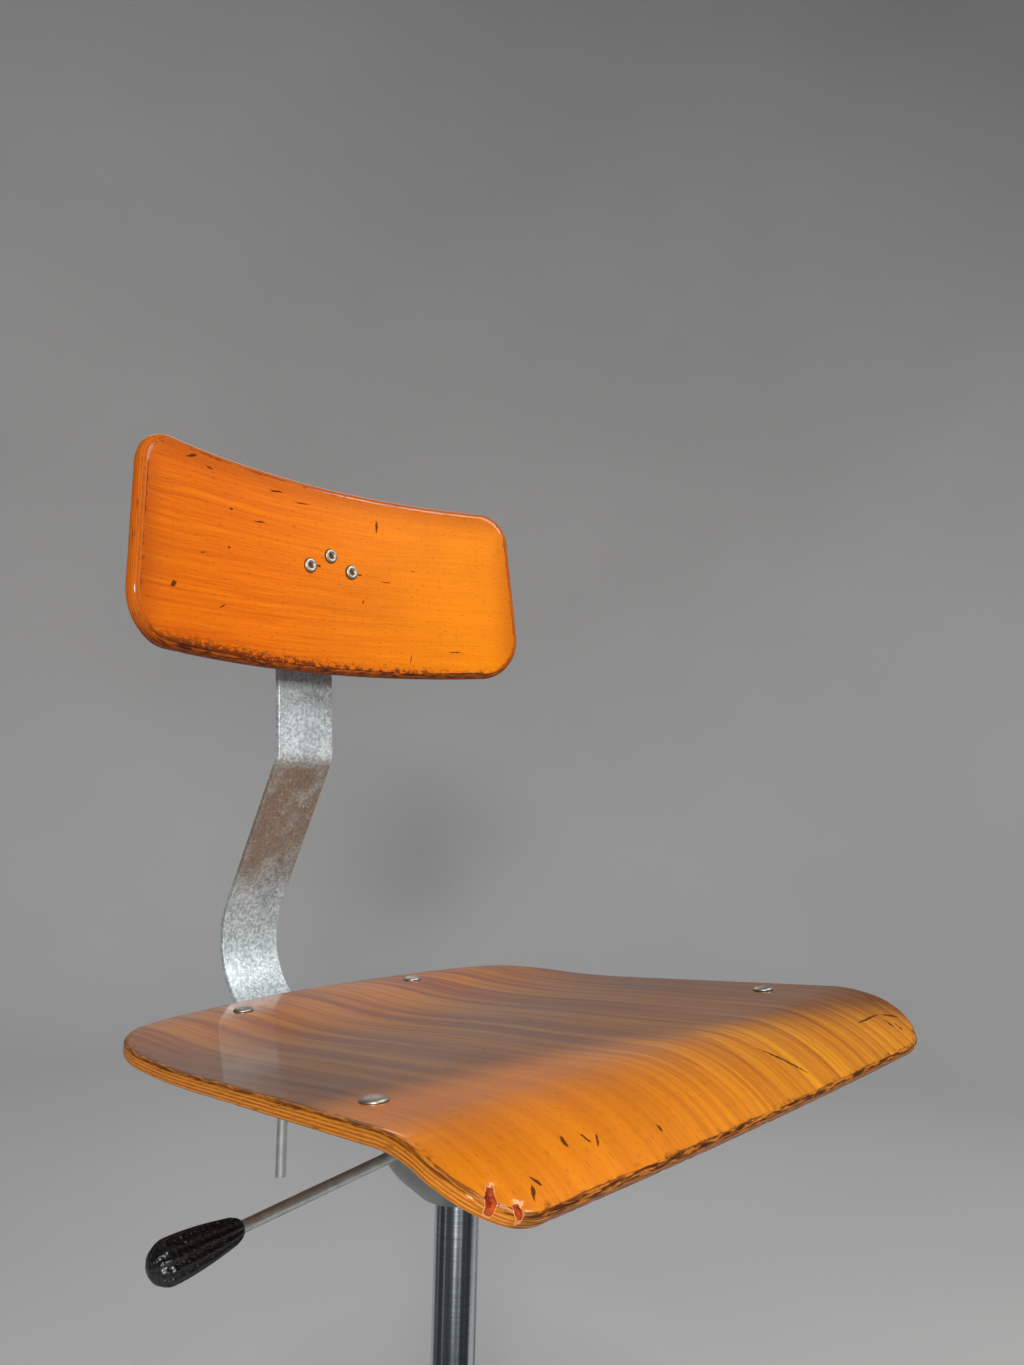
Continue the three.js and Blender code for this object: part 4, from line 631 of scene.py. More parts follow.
# %% Make the finishes
strip_steel = galvanised()
lever_steel = plated("lever_steel", rgb(160, 164, 162), rgb(208, 212, 208), 0.34, "x")
hanger_steel = plated("hanger_steel", rgb(160, 164, 164), rgb(206, 210, 208), 0.24, "z")
rivet_steel = plated("rivet_steel", rgb(140, 138, 128), rgb(190, 188, 178), 0.40, "x")
zinc = plated("zinc_plated_steel", rgb(150, 154, 156), rgb(200, 204, 204), 0.28, "y")
chrome = ground_chrome()
bright_chrome = plated("bright_chrome", rgb(196, 200, 204), rgb(224, 228, 230), 0.07, "z")
bowl_steel = enamel("bowl_grey", rgb(122, 126, 126), rgb(156, 160, 158), 0.75, 0.30, rgb(176, 176, 172))
grey_enamel = enamel("grey_enamel", rgb(104, 108, 110), rgb(124, 128, 130), 0.15, 0.34, rgb(150, 148, 142))
black_enamel = enamel("black_enamel", rgb(16, 16, 17), rgb(30, 30, 31), 0.1, 0.34, rgb(110, 108, 104))
grip_plastic = moulded("black_grip_plastic", rgb(7, 7, 8), rgb(16, 16, 16), 0.28, 480.0, 1.1 * MM)
knob_plastic = moulded("black_knob_plastic", rgb(12, 12, 13), rgb(24, 24, 24), 0.30, 1400.0, 0.1 * MM)
nylon = moulded("nylon", rgb(20, 20, 21), rgb(36, 36, 37), 0.45, 1600.0, 0.1 * MM)
rubber = moulded("rubber", rgb(14, 14, 14), rgb(28, 28, 28), 0.75, 1200.0, 0.14 * MM)
print("finishes:", len(bpy.data.materials))

# %% [markdown]
# ## The chair's driving sizes
# These are the same sizes that drive the imported model, written once more in metres. The height of the
# seat's pan is the datum.

# %% Driving sizes
FIT = 0.3 * MM  # clearance between pieces that meet
SEAT_HEIGHT = 620 * MM
SEAT_THICKNESS = 8.5 * MM
SEAT_SLOPE = 0.11
SEAT_LIP_RADIUS = 90 * MM
SEAT_LIP_Y = -163 * MM
SEAT_PAN_Y = 10 * MM
SEAT_PAN_RADIUS = 800 * MM
SEAT_FRONT_Y = -222 * MM
SEAT_REAR_Y = 167 * MM
SEAT_REAR_BOW = 9.5 * MM
SEAT_FRONT_HALF_WIDTH = 206 * MM
SEAT_REAR_HALF_WIDTH = 174.5 * MM
SEAT_CORNERS = (36 * MM, 92 * MM)  # front, rear
SEAT_SIDE_LIFT = 2.5 * MM
SEAT_ROLL_Y = 110 * MM
SEAT_ROLL_DROP = 3.5 * MM
SEAT_EDGE = 2.4 * MM
FRAME_SLOPE = 0.085


# %% The seat's face
def seat_z(x, y):
    """Height of the seat's upper face. x and y may be arrays."""
    angle = math.atan(SEAT_SLOPE)
    lip_join = SEAT_LIP_Y + SEAT_LIP_RADIUS * math.sin(angle)
    pan_end = SEAT_PAN_Y + SEAT_PAN_RADIUS * SEAT_SLOPE
    lip_top = -SEAT_SLOPE * (lip_join - SEAT_PAN_Y) + SEAT_LIP_RADIUS * (1 - math.cos(angle))
    reach = np.minimum(SEAT_LIP_Y - y, SEAT_LIP_RADIUS * 0.95)
    lip = lip_top - SEAT_LIP_RADIUS + np.sqrt(np.maximum(SEAT_LIP_RADIUS**2 - reach**2, 0))
    into = np.minimum(y, pan_end) - SEAT_PAN_Y
    pan = -SEAT_SLOPE * into + into**2 / (2 * SEAT_PAN_RADIUS)
    z = np.where(y < lip_join, lip, np.where(y > SEAT_PAN_Y, pan, -SEAT_SLOPE * (y - SEAT_PAN_Y)))
    side = (x / SEAT_FRONT_HALF_WIDTH) ** 2
    roll = np.maximum(0, y - SEAT_ROLL_Y) / (SEAT_REAR_Y - SEAT_ROLL_Y)
    return SEAT_HEIGHT + z + SEAT_SIDE_LIFT * side - SEAT_ROLL_DROP * roll**2 * (1 + 2 * side)


CORNER_SHARE = 0.24  # of a sheet's rows, for the corners at each end


def corner_row(t, length, first, last):
    """Where a row of a round-cornered outline lies, and how far its ends are drawn in."""
    head = np.minimum(t / CORNER_SHARE, 1) * QUARTER
    tail = np.minimum((1 - t) / CORNER_SHARE, 1) * QUARTER
    middle = (t - CORNER_SHARE) / (1 - 2 * CORNER_SHARE)
    parts = [t < CORNER_SHARE, t > 1 - CORNER_SHARE]
    straight = first + middle * (length - first - last)
    along = np.select(parts, [first * (1 - np.cos(head)), length - last * (1 - np.cos(tail))], straight)
    inset = np.select(parts, [first * (1 - np.sin(head)), last * (1 - np.sin(tail))], 0.0)
    return along, inset


def seat_outline(u, v):
    """Where the point (u, v) of a square from -1 to 1 lies on the seat, seen from above."""
    length = SEAT_REAR_Y - SEAT_FRONT_Y
    along, inset = corner_row((v + 1) / 2, length, *SEAT_CORNERS)
    share = along / length
    half = SEAT_FRONT_HALF_WIDTH + (SEAT_REAR_HALF_WIDTH - SEAT_FRONT_HALF_WIDTH) * share - inset
    bow = SEAT_REAR_BOW * share**4 * (1 - u**2)
    return u * half, SEAT_FRONT_Y + along + bow


print("seat face at the datum:", float(seat_z(np.array(0.0), np.array(0.0))))

# %% [markdown]
# ## A pressed sheet
# A plywood pressing is a sheet of even thickness laid under a curved face. The sheet is a closed grid: the
# upper face, the lower face, and rows that run round the rounded rim between them. Small noise on the rim
# gives the knocks of long use, and a chipped place sinks below the face where the veneer has torn away.


# %% Helpers for a pressed sheet
RIM_STEPS = 4  # across each rounded arris, and across the flat between them


def linked(name, data):
    """A new object that holds `data`, in the scene."""
    thing = bpy.data.objects.new(name, data)
    scene.collection.objects.link(thing)
    return thing


def sheet_levels(thickness, soft):
    """(depth, inset) pairs from the upper face, round the rim, to the lower face."""
    angles = [i / RIM_STEPS * QUARTER for i in range(RIM_STEPS + 1)]
    upper = [(soft * (1 - math.cos(angle)), soft * (1 - math.sin(angle))) for angle in angles]
    lower = [(thickness - down, inward) for down, inward in reversed(upper)]
    span = thickness - 2 * soft
    flat = [(soft + span * i / RIM_STEPS, 0.0) for i in range(1, RIM_STEPS)]
    return upper + flat + lower


def torn_depth(top, across, along, tears):
    """How far the veneer tears sink each point of the upper face."""
    sunk = np.zeros(across.shape)
    for side, forward, width, length, depth, lean in tears:
        sideways, lengthwise = inside_mark(across, along, side, forward, width, length, lean)
        ragged = np.array([noise.noise(Vector((p[0] * 320, p[1] * 320, 3.0))) for p in top.reshape(-1, 3)])
        reach = np.maximum(np.abs(sideways), np.abs(lengthwise)) + ragged.reshape(sunk.shape) * 0.5
        sunk = np.maximum(sunk, np.clip((1.05 - reach) / 0.25, 0, 1) * depth * MM)
    return sunk


def knocked(ring, normal, depth, knocks):
    """A ring of the rim with the small bites of long use, deepest at its two arrises."""
    bite = np.array([noise.fractal(Vector(p) * 95, 0.8, 2.0, 4) for p in ring])
    bite = np.clip(bite - 0.15, 0, 1) * knocks * (0.4 + 0.6 * abs(1 - 2 * depth))
    inward = ring.mean(0) - ring
    inward -= (inward * normal).sum(-1, keepdims=True) * normal
    inward /= np.linalg.norm(inward, axis=-1, keepdims=True)
    return ring + inward * bite[:, None]


def sheet_faces(grid, rings):
    """The quads of both faces, and of the rim between them."""
    under = grid + grid.size
    faces = []
    for ci in range(grid.shape[0] - 1):
        for cj in range(grid.shape[1] - 1):
            a, b, c, d = (ci, cj), (ci + 1, cj), (ci + 1, cj + 1), (ci, cj + 1)
            faces.append((grid[a], grid[b], grid[c], grid[d]))
            faces.append((under[d], under[c], under[b], under[a]))
    for above, below in zip(rings, rings[1:]):
        for k in range(len(above)):
            n = (k + 1) % len(above)
            faces.append((above[k], below[k], below[n], above[n]))
    return [tuple(int(corner) for corner in face) for face in faces]


# %% Pressed sheet


def pressed_sheet(name, columns, rows, thickness, soft, outline, face, grain, knocks, tears=()):
    """A closed sheet. `face(a, b)` gives the upper face, and `grain(a, b)` the wood's coordinates."""
    u, v = np.meshgrid(np.linspace(-1, 1, columns + 1), np.linspace(-1, 1, rows + 1), indexing="ij")
    half_a = float(outline(np.array(1.0), np.array(0.0))[0])
    low_b = float(outline(np.array(0.0), np.array(-1.0))[1])
    high_b = float(outline(np.array(0.0), np.array(1.0))[1])
    middle_b, half_b = (low_b + high_b) / 2, (high_b - low_b) / 2
    probe = 0.4 * MM

    def layer(su, sv, depth, inset):
        on_a, on_b = outline(su, sv)
        a = on_a * (1 - inset / half_a)
        b = middle_b + (on_b - middle_b) * (1 - inset / half_b)
        point = face(a, b)
        along_a = face(a + probe, b) - face(a - probe, b)
        along_b = face(a, b + probe) - face(a, b - probe)
        normal = np.cross(along_a, along_b)
        normal /= np.linalg.norm(normal, axis=-1, keepdims=True)
        return a, b, point, normal, point - normal * depth

    # The grid's own border, once round.
    side_i = [np.arange(columns), np.full(rows, columns), np.arange(columns, 0, -1), np.zeros(rows, int)]
    side_j = [np.zeros(columns, int), np.arange(rows), np.full(columns, rows), np.arange(rows, 0, -1)]
    i = np.concatenate(side_i)
    j = np.concatenate(side_j)
    levels = sheet_levels(thickness, soft)
    rim_count = len(i)
    sheet_a, sheet_b, _, top_normal, top = layer(u, v, *levels[0])
    _, _, _, _, bottom = layer(u, v, *levels[-1])
    border = kdtree.KDTree(rim_count)
    for k, point in enumerate(layer(u[i, j], v[i, j], 0.0, 0.0)[2]):
        border.insert(point, k)
    border.balance()
    distance = np.array([border.find(point)[2] for point in top.reshape(-1, 3)]).reshape(top.shape[:2])
    edge_from = np.maximum(distance - soft * 0.6, 0)

    across, along = grain(sheet_a, sheet_b)
    sunk = torn_depth(top, across, along, tears)
    top = top - top_normal * sunk[..., None]

    points = [top.reshape(-1, 3), bottom.reshape(-1, 3)]
    depths = [np.zeros(u.size), np.ones(u.size)]
    edges = [edge_from.ravel()] * 2
    places = [np.stack((across, along), -1).reshape(-1, 2)] * 2
    for depth, inset in levels[1:-1]:
        a, b, _, normal, ring = layer(u[i, j], v[i, j], depth, inset)
        points.append(knocked(ring, normal, depth / thickness, knocks))
        depths.append(np.full(rim_count, depth / thickness))
        edges.append(np.zeros(rim_count))
        places.append(np.stack(grain(a, b), -1))

    grid = np.arange(u.size).reshape(u.shape)
    between = [2 * u.size + k * rim_count + np.arange(rim_count) for k in range(len(levels) - 2)]
    rings = [grid[i, j], *between, grid[i, j] + u.size]
    mesh = bpy.data.meshes.new(name)
    mesh.from_pydata(np.concatenate(points).tolist(), [], sheet_faces(grid, rings))
    for label, values in (("depth", depths), ("edge", edges)):
        mesh.attributes.new(label, "FLOAT", "POINT").data.foreach_set("value", np.concatenate(values))
    uv = np.concatenate(places)
    corners = np.zeros(len(mesh.loops), int)
    mesh.loops.foreach_get("vertex_index", corners)
    mesh.uv_layers.new(name="grain").data.foreach_set("uv", uv[corners].ravel())
    mesh.shade_smooth()
    piece = linked(name, mesh)
    print(name, "has", len(mesh.vertices), "points")
    return piece


# %% [markdown]
# ## The seat
# The grain's coordinates are the distance from the middle and the length of the curve from the front edge,
# so the figure bends over the lip as veneer does. Two veneer tears sit at the front corner on the sitter's
# right.


# %% Seat pressing
def seat_face(x, y):
    return np.stack([x, y, seat_z(x, y)], -1)


CURVE_POINTS = 400
CURVE_Y = np.linspace(SEAT_FRONT_Y, SEAT_REAR_Y + SEAT_REAR_BOW, CURVE_POINTS)
CURVE_Z = seat_z(np.zeros(CURVE_POINTS), CURVE_Y)
CURVE_LENGTH = np.concatenate([[0], np.cumsum(np.hypot(np.diff(CURVE_Y), np.diff(CURVE_Z)))])


def seat_grain(x, y):
    """Distance from the middle, and along the curve from the front edge."""
    return x, np.interp(y, CURVE_Y, CURVE_LENGTH)


seat = pressed_sheet(
    "seat_pressing",
    columns=190,
    rows=180,
    thickness=SEAT_THICKNESS,
    soft=SEAT_EDGE,
    outline=seat_outline,
    face=seat_face,
    grain=seat_grain,
    knocks=0.9 * MM,
    tears=SEAT_TEARS,
)
dress(seat, seat_wood)
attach(seat, "seat")
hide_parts("seat_shell")

# %% [markdown]
# ## The backrest
# The board is part of a cylinder across the sitter's back, and leans back a little. Its grain runs across,
# and its thick edge is sanded almost round.

# %% Backrest pressing
BACK_FACE_Y = 154.4 * MM
BACK_RISE = 296 * MM
BACK_LEAN = math.radians(4.8)
BACK_RADIUS = 490 * MM
BACK_THICKNESS = 11 * MM
BACK_EDGE = 4.6 * MM
BACK_TOP = (168.7 * MM, 77.2 * MM)  # half width, height over the board's middle
BACK_BOTTOM = (179.6 * MM, -64.3 * MM)
BACK_CORNERS = (38 * MM, 23 * MM)  # bottom, top
BACK_TOP_SAG = 1.8 * MM
BACK_BOTTOM_BOW = 3.8 * MM


def on_backrest(x, y, z):
    """From the board's own frame to the chair's."""
    lean_y = BACK_FACE_Y + y * math.cos(BACK_LEAN) + z * math.sin(BACK_LEAN)
    lean_z = SEAT_HEIGHT + BACK_RISE - y * math.sin(BACK_LEAN) + z * math.cos(BACK_LEAN)
    return np.stack(np.broadcast_arrays(x, lean_y, lean_z), -1)


def back_face(across, up):
    """A point of the front face, at a distance along its curve and a height."""
    angle = across / BACK_RADIUS
    return on_backrest(BACK_RADIUS * np.sin(angle), -BACK_RADIUS * (1 - np.cos(angle)), up)


def back_outline(u, v):
    height = BACK_TOP[1] - BACK_BOTTOM[1]
    along, inset = corner_row((v + 1) / 2, height, *BACK_CORNERS)
    share = along / height
    half = BACK_BOTTOM[0] + (BACK_TOP[0] - BACK_BOTTOM[0]) * share - inset
    bow = -BACK_BOTTOM_BOW * (1 - share) ** 2 * (1 - u**2)
    sag = -BACK_TOP_SAG * share**2 * (1 - u**2)
    return u * half, BACK_BOTTOM[1] + along + bow + sag


backrest = pressed_sheet(
    "backrest_pressing",
    columns=200,
    rows=100,
    thickness=BACK_THICKNESS,
    soft=BACK_EDGE,
    outline=back_outline,
    face=back_face,
    grain=lambda across, up: (up, across),
    knocks=0.6 * MM,
)
dress(backrest, back_wood)
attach(backrest, "backrest")
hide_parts("backrest_board")

# %% [markdown]
# ## Turned pieces
# Anything made on a lathe, or close to it, is a profile of radius and height carried round an axis. The
# profile closes on itself, or starts and ends on the axis, so the mesh is shut. A small bevel catches the
# light.


# %% Lathe
def finished(name, mesh, material, body, nodes, bevel=0.0, smooth=35):
    """Links a mesh as a piece, softens its arrises, ties it to its body, and hides the nodes that it stands
    for.
    """
    piece = linked(name, mesh)
    mesh.shade_smooth()
    mesh.set_sharp_from_angle(angle=math.radians(smooth))
    if bevel:
        softened = piece.modifiers.new("arris", "BEVEL")
        softened.width = bevel
        softened.segments = 2
        softened.limit_method = "ANGLE"
        softened.angle_limit = math.radians(smooth)
        softened.harden_normals = False
    dress(piece, material)
    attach(piece, body)
    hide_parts(*nodes)
    print(name, "rides on", body)
    return piece


FINE_FACETS = 96  # round the larger turned pieces


def kept_mesh(name, work):
    """Turns a bmesh into a mesh, and frees it."""
    mesh = bpy.data.meshes.new(name)
    work.to_mesh(mesh)
    work.free()
    return mesh


def bridge(work, rings, facets):
    """Quads between rings. Where a ring is one point on the axis, they become triangles."""
    for low, high in zip(rings, rings[1:]):
        for k in range(facets):
            n = (k + 1) % facets
            corners = [low[k % len(low)], low[n % len(low)], high[n % len(high)], high[k % len(high)]]
            work.faces.new(list(dict.fromkeys(corners)))


def turned_mesh(name, profile, facets=72, lobes=0, lobe_depth=0.0, place=None):
    """A closed mesh turned about Z from (radius, height) points, then moved by the matrix `place`."""
    closed = profile[0] == profile[-1]
    work = bmesh.new()
    rings = []
    for radius, height in profile[:-1] if closed else profile:
        if radius == 0:
            rings.append([work.verts.new((0, 0, height))])
            continue
        ring = []
        for k in range(facets):
            angle = k / facets * TURN
            hollow = 1 - lobe_depth * (1 - math.cos(lobes * angle)) / 2
            reach = radius * hollow
            ring.append(work.verts.new((reach * math.cos(angle), reach * math.sin(angle), height)))
        rings.append(ring)
    if closed:
        rings.append(rings[0])
    bridge(work, rings, facets)
    bmesh.ops.recalc_face_normals(work, faces=work.faces)
    mesh = kept_mesh(name, work)
    if place is not None:
        mesh.transform(place)
    return mesh


def tube_profile(bore, radius, low, high, arris=((0.0, 0.0),)):
    """A tube's wall as a closed profile. `arris` lists (inward, up) steps that round its outer edges."""
    lower = [(radius - inward, low + up) for inward, up in arris]
    upper = [(radius - inward, high - up) for inward, up in reversed(arris)]
    return [(bore, low), *lower, *upper, (bore, high), (bore, low)]


# %% [markdown]
# ## The column and the bowl
# The column is a plain ground tube. The bowl is a deep pressing with a straight wall, a curved shoulder and
# a cone that closes in round the socket. All three are turned from a profile, as they would be spun or
# drawn.

# %% Column, socket and bowl
tube_low, tube_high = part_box("pressure_tube")
TUBE_RADIUS = tube_high.x
TUBE_WALL = 1.8 * MM
column_profile = tube_profile(TUBE_RADIUS - TUBE_WALL, TUBE_RADIUS, tube_low.z, tube_high.z)
tube = turned_mesh("column_tube", column_profile, FINE_FACETS)
finished("column_tube", tube, chrome, "column", ["pressure_tube"], bevel=0.4 * MM)

socket_low, socket_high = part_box("column_socket")
SOCKET_RADIUS = socket_high.x
SOCKET_BORE = TUBE_RADIUS + FIT
SOCKET_LIP = 3 * MM
socket_profile = [
    (SOCKET_BORE, socket_low.z),
    ((SOCKET_BORE + SOCKET_RADIUS) / 2, socket_low.z),
    (SOCKET_RADIUS, socket_low.z + SOCKET_LIP - FIT),
    (SOCKET_RADIUS, socket_high.z),
    (SOCKET_BORE, socket_high.z),
    (SOCKET_BORE, socket_low.z),
]
socket = turned_mesh("column_socket_ring", socket_profile, FINE_FACETS)
finished("column_socket_ring", socket, zinc, "seat", ["column_socket"], bevel=0.3 * MM)

# %% Bowl
bowl_low, bowl_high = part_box("mechanism_bowl")
BOWL_RADIUS = bowl_high.x
BOWL_WALL = 2.5 * MM
BOWL_FLOOR_RADIUS = SOCKET_RADIUS + 5 * MM
BOWL_SHOULDER = 14 * MM
BOWL_CONE = 20 * MM


def quadratic(start, knee, end, t):
    """A point of the smooth curve from start to end that leans towards the knee."""
    return tuple(a * (1 - t) ** 2 + 2 * b * t * (1 - t) + c * t**2 for a, b, c in zip(start, knee, end))


def bowl_wall(inside):
    """One side of the wall, from its rim down to its floor, drawn in by `inside`."""
    wall = BOWL_RADIUS - inside
    cone_top = bowl_low.z + BOWL_CONE + inside
    start = (wall, cone_top + BOWL_SHOULDER)
    knee = (wall, cone_top)
    end = (wall - BOWL_SHOULDER, cone_top - BOWL_SHOULDER * 0.8)
    curve = [quadratic(start, knee, end, float(t)) for t in np.linspace(0, 1, 12)]
    return [(wall, bowl_high.z), *curve, (BOWL_FLOOR_RADIUS - inside, bowl_low.z + inside)]


hole = SOCKET_RADIUS + FIT
outside = reversed(bowl_wall(0.0))
inside = bowl_wall(BOWL_WALL)
floor = [(hole, bowl_low.z + BOWL_WALL), (hole, bowl_low.z)]
bowl = turned_mesh("mechanism_bowl_pressing", [(hole, bowl_low.z), *outside, *inside, *floor], FINE_FACETS)
finished("mechanism_bowl_pressing", bowl, bowl_steel, "seat", ["mechanism_bowl"])

# %% [markdown]
# ## Rods
# The release lever is a straight round bar that droops towards its grip. The clamp's rod crosses under the
# seat and hangs down beside it. A Geometry Nodes tree carries a circle along each rod's middle line and
# rounds its end with a ball of the same size, because a bar that follows a path is a rule, not a shape to
# model by hand.


# %% Geometry Nodes helpers
def geometry_tree(name, sizes):
    """A tree with a geometry input and output, and a named input for each size."""
    tree = bpy.data.node_groups.new(name, "GeometryNodeTree")
    tree.interface.new_socket("Geometry", in_out="INPUT", socket_type="NodeSocketGeometry")
    tree.interface.new_socket("Geometry", in_out="OUTPUT", socket_type="NodeSocketGeometry")
    for size, kind in sizes.items():
        tree.interface.new_socket(size, in_out="INPUT", socket_type=kind)
    graph = Graph(tree)
    entry = tree.nodes.new("NodeGroupInput")
    given = {socket.name: Wire(graph, socket) for socket in entry.outputs if socket.name}
    return tree, graph, given


def end_tree(graph, geometry, material):
    """Makes the instances real and sets the material."""
    real = graph.add("GeometryNodeRealizeInstances", inputs=[geometry])
    coated = graph.add("GeometryNodeSetMaterial", inputs={"Geometry": real, "Material": material})
    out = graph.tree.nodes.new("NodeGroupOutput")
    graph.tree.links.new(coated.socket, out.inputs[0])


def grown(name, tree, source, sizes):
    """Runs a tree on a source object and keeps the result as a plain mesh."""
    modifier = source.modifiers.new("shape", "NODES")
    modifier.node_group = tree
    for socket in tree.interface.items_tree:
        if socket.in_out == "INPUT" and socket.name in sizes:
            modifier[socket.identifier] = sizes[socket.name]
    bpy.context.view_layer.update()
    evaluated = source.evaluated_get(bpy.context.evaluated_depsgraph_get())
    mesh = bpy.data.meshes.new_from_object(evaluated)
    mesh.name = name
    bpy.data.objects.remove(source)
    print(name, "grew", len(mesh.vertices), "points")
    return mesh


def path_object(points):
    """A poly curve through points, as a source for a tree."""
    curve = bpy.data.curves.new("path", "CURVE")
    curve.dimensions = "3D"
    line = curve.splines.new("POLY")
    line.points.add(len(points) - 1)
    for at, point in zip(line.points, points):
        at.co = (*point, 1)
    return linked("path", curve)


# %% A bar that follows a path
BAR_FACETS = 28


def round_bar_tree():
    """A circle carried along the source curve. Its far end is rounded like a ball."""
    sizes = {"Radius": "NodeSocketFloat", "Material": "NodeSocketMaterial"}
    tree, graph, given = geometry_tree("round_bar", sizes)
    radius = given["Radius"]
    spacing = {"Curve": given["Geometry"], "Length": radius * 0.16}
    line = graph.add("GeometryNodeResampleCurve", {"mode": "LENGTH"}, spacing)
    reached = graph.add("GeometryNodeSplineParameter", output=1)
    whole = graph.add("GeometryNodeSplineLength")
    left = (whole - reached) / radius
    inside = (1 - left).larger(0.0)
    swell = (1 - inside * inside).larger(0.0004) ** 0.5
    line = graph.add("GeometryNodeSetCurveRadius", inputs={"Curve": line, "Radius": swell})
    section = {"Resolution": BAR_FACETS, "Radius": radius}
    circle = graph.add("GeometryNodeCurvePrimitiveCircle", inputs=section)
    inputs = {"Curve": line, "Profile Curve": circle, "Fill Caps": True}
    end_tree(graph, graph.add("GeometryNodeCurveToMesh", inputs=inputs), given["Material"])
    return tree


ROUND_BAR = round_bar_tree()


def bar_along(name, points, radius, material):
    """A round bar along a path, as a mesh."""
    sizes = {"Radius": radius, "Material": material}
    return grown(name, ROUND_BAR, path_object(points), sizes)


# %% Joints as the record gives them
JOINTS = {joint["name"]: joint for joint in frame["joints"]}
lever_pivot = Vector(JOINTS["lever_lift"]["pos_m"])
LEVER_DROOP = math.radians(5.8)
LEVER_RADIUS = 3.4 * MM
LEVER_LENGTH = 160 * MM
TONGUE_LENGTH = 42 * MM
GRIP_LENGTH = 52 * MM
GRIP_SOCKET = 26 * MM
lever_origin = Vector((0, 0, lever_pivot.z - lever_pivot.x * math.tan(LEVER_DROOP)))
ALONG_LEVER = Matrix.Translation(lever_origin) @ Matrix.Rotation(-LEVER_DROOP - QUARTER, 4, "Y")


def join_meshes(name, meshes):
    """Several closed meshes as one mesh."""
    work = bmesh.new()
    for mesh in meshes:
        work.from_mesh(mesh)
    return kept_mesh(name, work)


def box_mesh(name, low, high):
    """A box between two corners."""
    work = bmesh.new()
    bmesh.ops.create_cube(work, size=1.0)
    centre = (Vector(low) + Vector(high)) / 2
    size = Vector(high) - Vector(low)
    for vertex in work.verts:
        vertex.co = Vector(a * b for a, b in zip(vertex.co, size)) + centre
    return kept_mesh(name, work)


# %% Lever arm
TONGUE_HALF = Vector((4.2, 5.0, 4.5)) * MM
TONGUE_OVERLAP = 8 * MM
arm_ends = (TONGUE_LENGTH - TONGUE_OVERLAP, LEVER_LENGTH + GRIP_SOCKET - FIT)
arm_path = [ALONG_LEVER @ Vector((0, 0, z)) for z in arm_ends]
arm_bar = bar_along("lever_arm_bar", arm_path, LEVER_RADIUS, lever_steel)
tongue = box_mesh("tongue", -TONGUE_HALF, (TONGUE_HALF.x, TONGUE_HALF.y, TONGUE_LENGTH))
tongue.transform(ALONG_LEVER)
arm = join_meshes("lever_arm_rod", [arm_bar, tongue])
finished("lever_arm_rod", arm, lever_steel, "lever", ["lever_arm"], bevel=0.3 * MM, smooth=50)

# %% Clamp rod
clamp_pivot = Vector(JOINTS["strip_clamp_turn"]["pos_m"])
clamp_low, clamp_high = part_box("clamp_rod")
CLAMP_RADIUS = 3.5 * MM
CLAMP_BEND = 9 * MM
hang_x = clamp_low.x + CLAMP_RADIUS
BEND_STEPS = 8
clamp_path = [(clamp_high.x, clamp_pivot.y, clamp_pivot.z)]
for step in range(BEND_STEPS + 1):
    angle = step / BEND_STEPS * QUARTER
    x = hang_x + CLAMP_BEND * (1 - math.sin(angle))
    z = clamp_pivot.z - CLAMP_BEND * (1 - math.cos(angle))
    clamp_path.append((x, clamp_pivot.y, z))
clamp_path.append((hang_x, clamp_pivot.y, clamp_low.z))
clamp = bar_along("clamp_handle_rod", clamp_path, CLAMP_RADIUS, hanger_steel)
finished("clamp_handle_rod", clamp, hanger_steel, "strip_clamp", ["clamp_rod"], smooth=60)

# %% [markdown]
# ## The fluted grip
# The moulding is slim where it takes the arm and fat at its rounded end, with shallow flutes between. All
# of that is a formula in the angle round the grip and the distance along it, so a tree bends a plain tube
# by it.

# %% Grip
GRIP_NECK = 6.2 * MM
GRIP_BELLY = 11.4 * MM
GRIP_FLUTES = 12
GRIP_FLUTE_DEPTH = 1.7 * MM


def grip_tree():
    """A plain tube, bent by its formula into the fluted moulding."""
    sizes = {name: "NodeSocketFloat" for name in ("Length", "Neck", "Belly", "Flutes", "Flute depth")}
    tree, graph, given = geometry_tree("fluted_grip", {**sizes, "Material": "NodeSocketMaterial"})
    tube_inputs = {"Vertices": 120, "Side Segments": 90, "Radius": 1.0, "Depth": 1.0}
    tube = graph.add("GeometryNodeMeshCylinder", {"fill_type": "NGON"}, tube_inputs)
    x, y, z = graph.add("GeometryNodeInputPosition").parts()
    along = z + 0.5
    quarter = (along * 1.25).maths("MINIMUM", 1.0) * QUARTER
    body = given["Neck"] + (given["Belly"] - given["Neck"]) * quarter.sine()
    neck = (1 - along * 11).larger(0.0)
    neck_round = (1 - neck * neck * 0.5) ** 0.5
    end = ((along - 0.78) / 0.22).larger(0.0)
    end_round = (1 - end * end).larger(0.0002) ** 0.5
    angle = y.maths("ARCTAN2", x)
    fade = (along * math.pi).sine().larger(0.0) ** 0.35
    groove = (1 - (angle * given["Flutes"]).cosine()) * 0.5
    radius = body * neck_round * end_round - given["Flute depth"] * fade * groove * end_round
    bent = graph.point(x * radius, y * radius, along * given["Length"])
    shaped = graph.add("GeometryNodeSetPosition", inputs={"Geometry": tube, "Position": bent})
    end_tree(graph, shaped, given["Material"])
    return tree


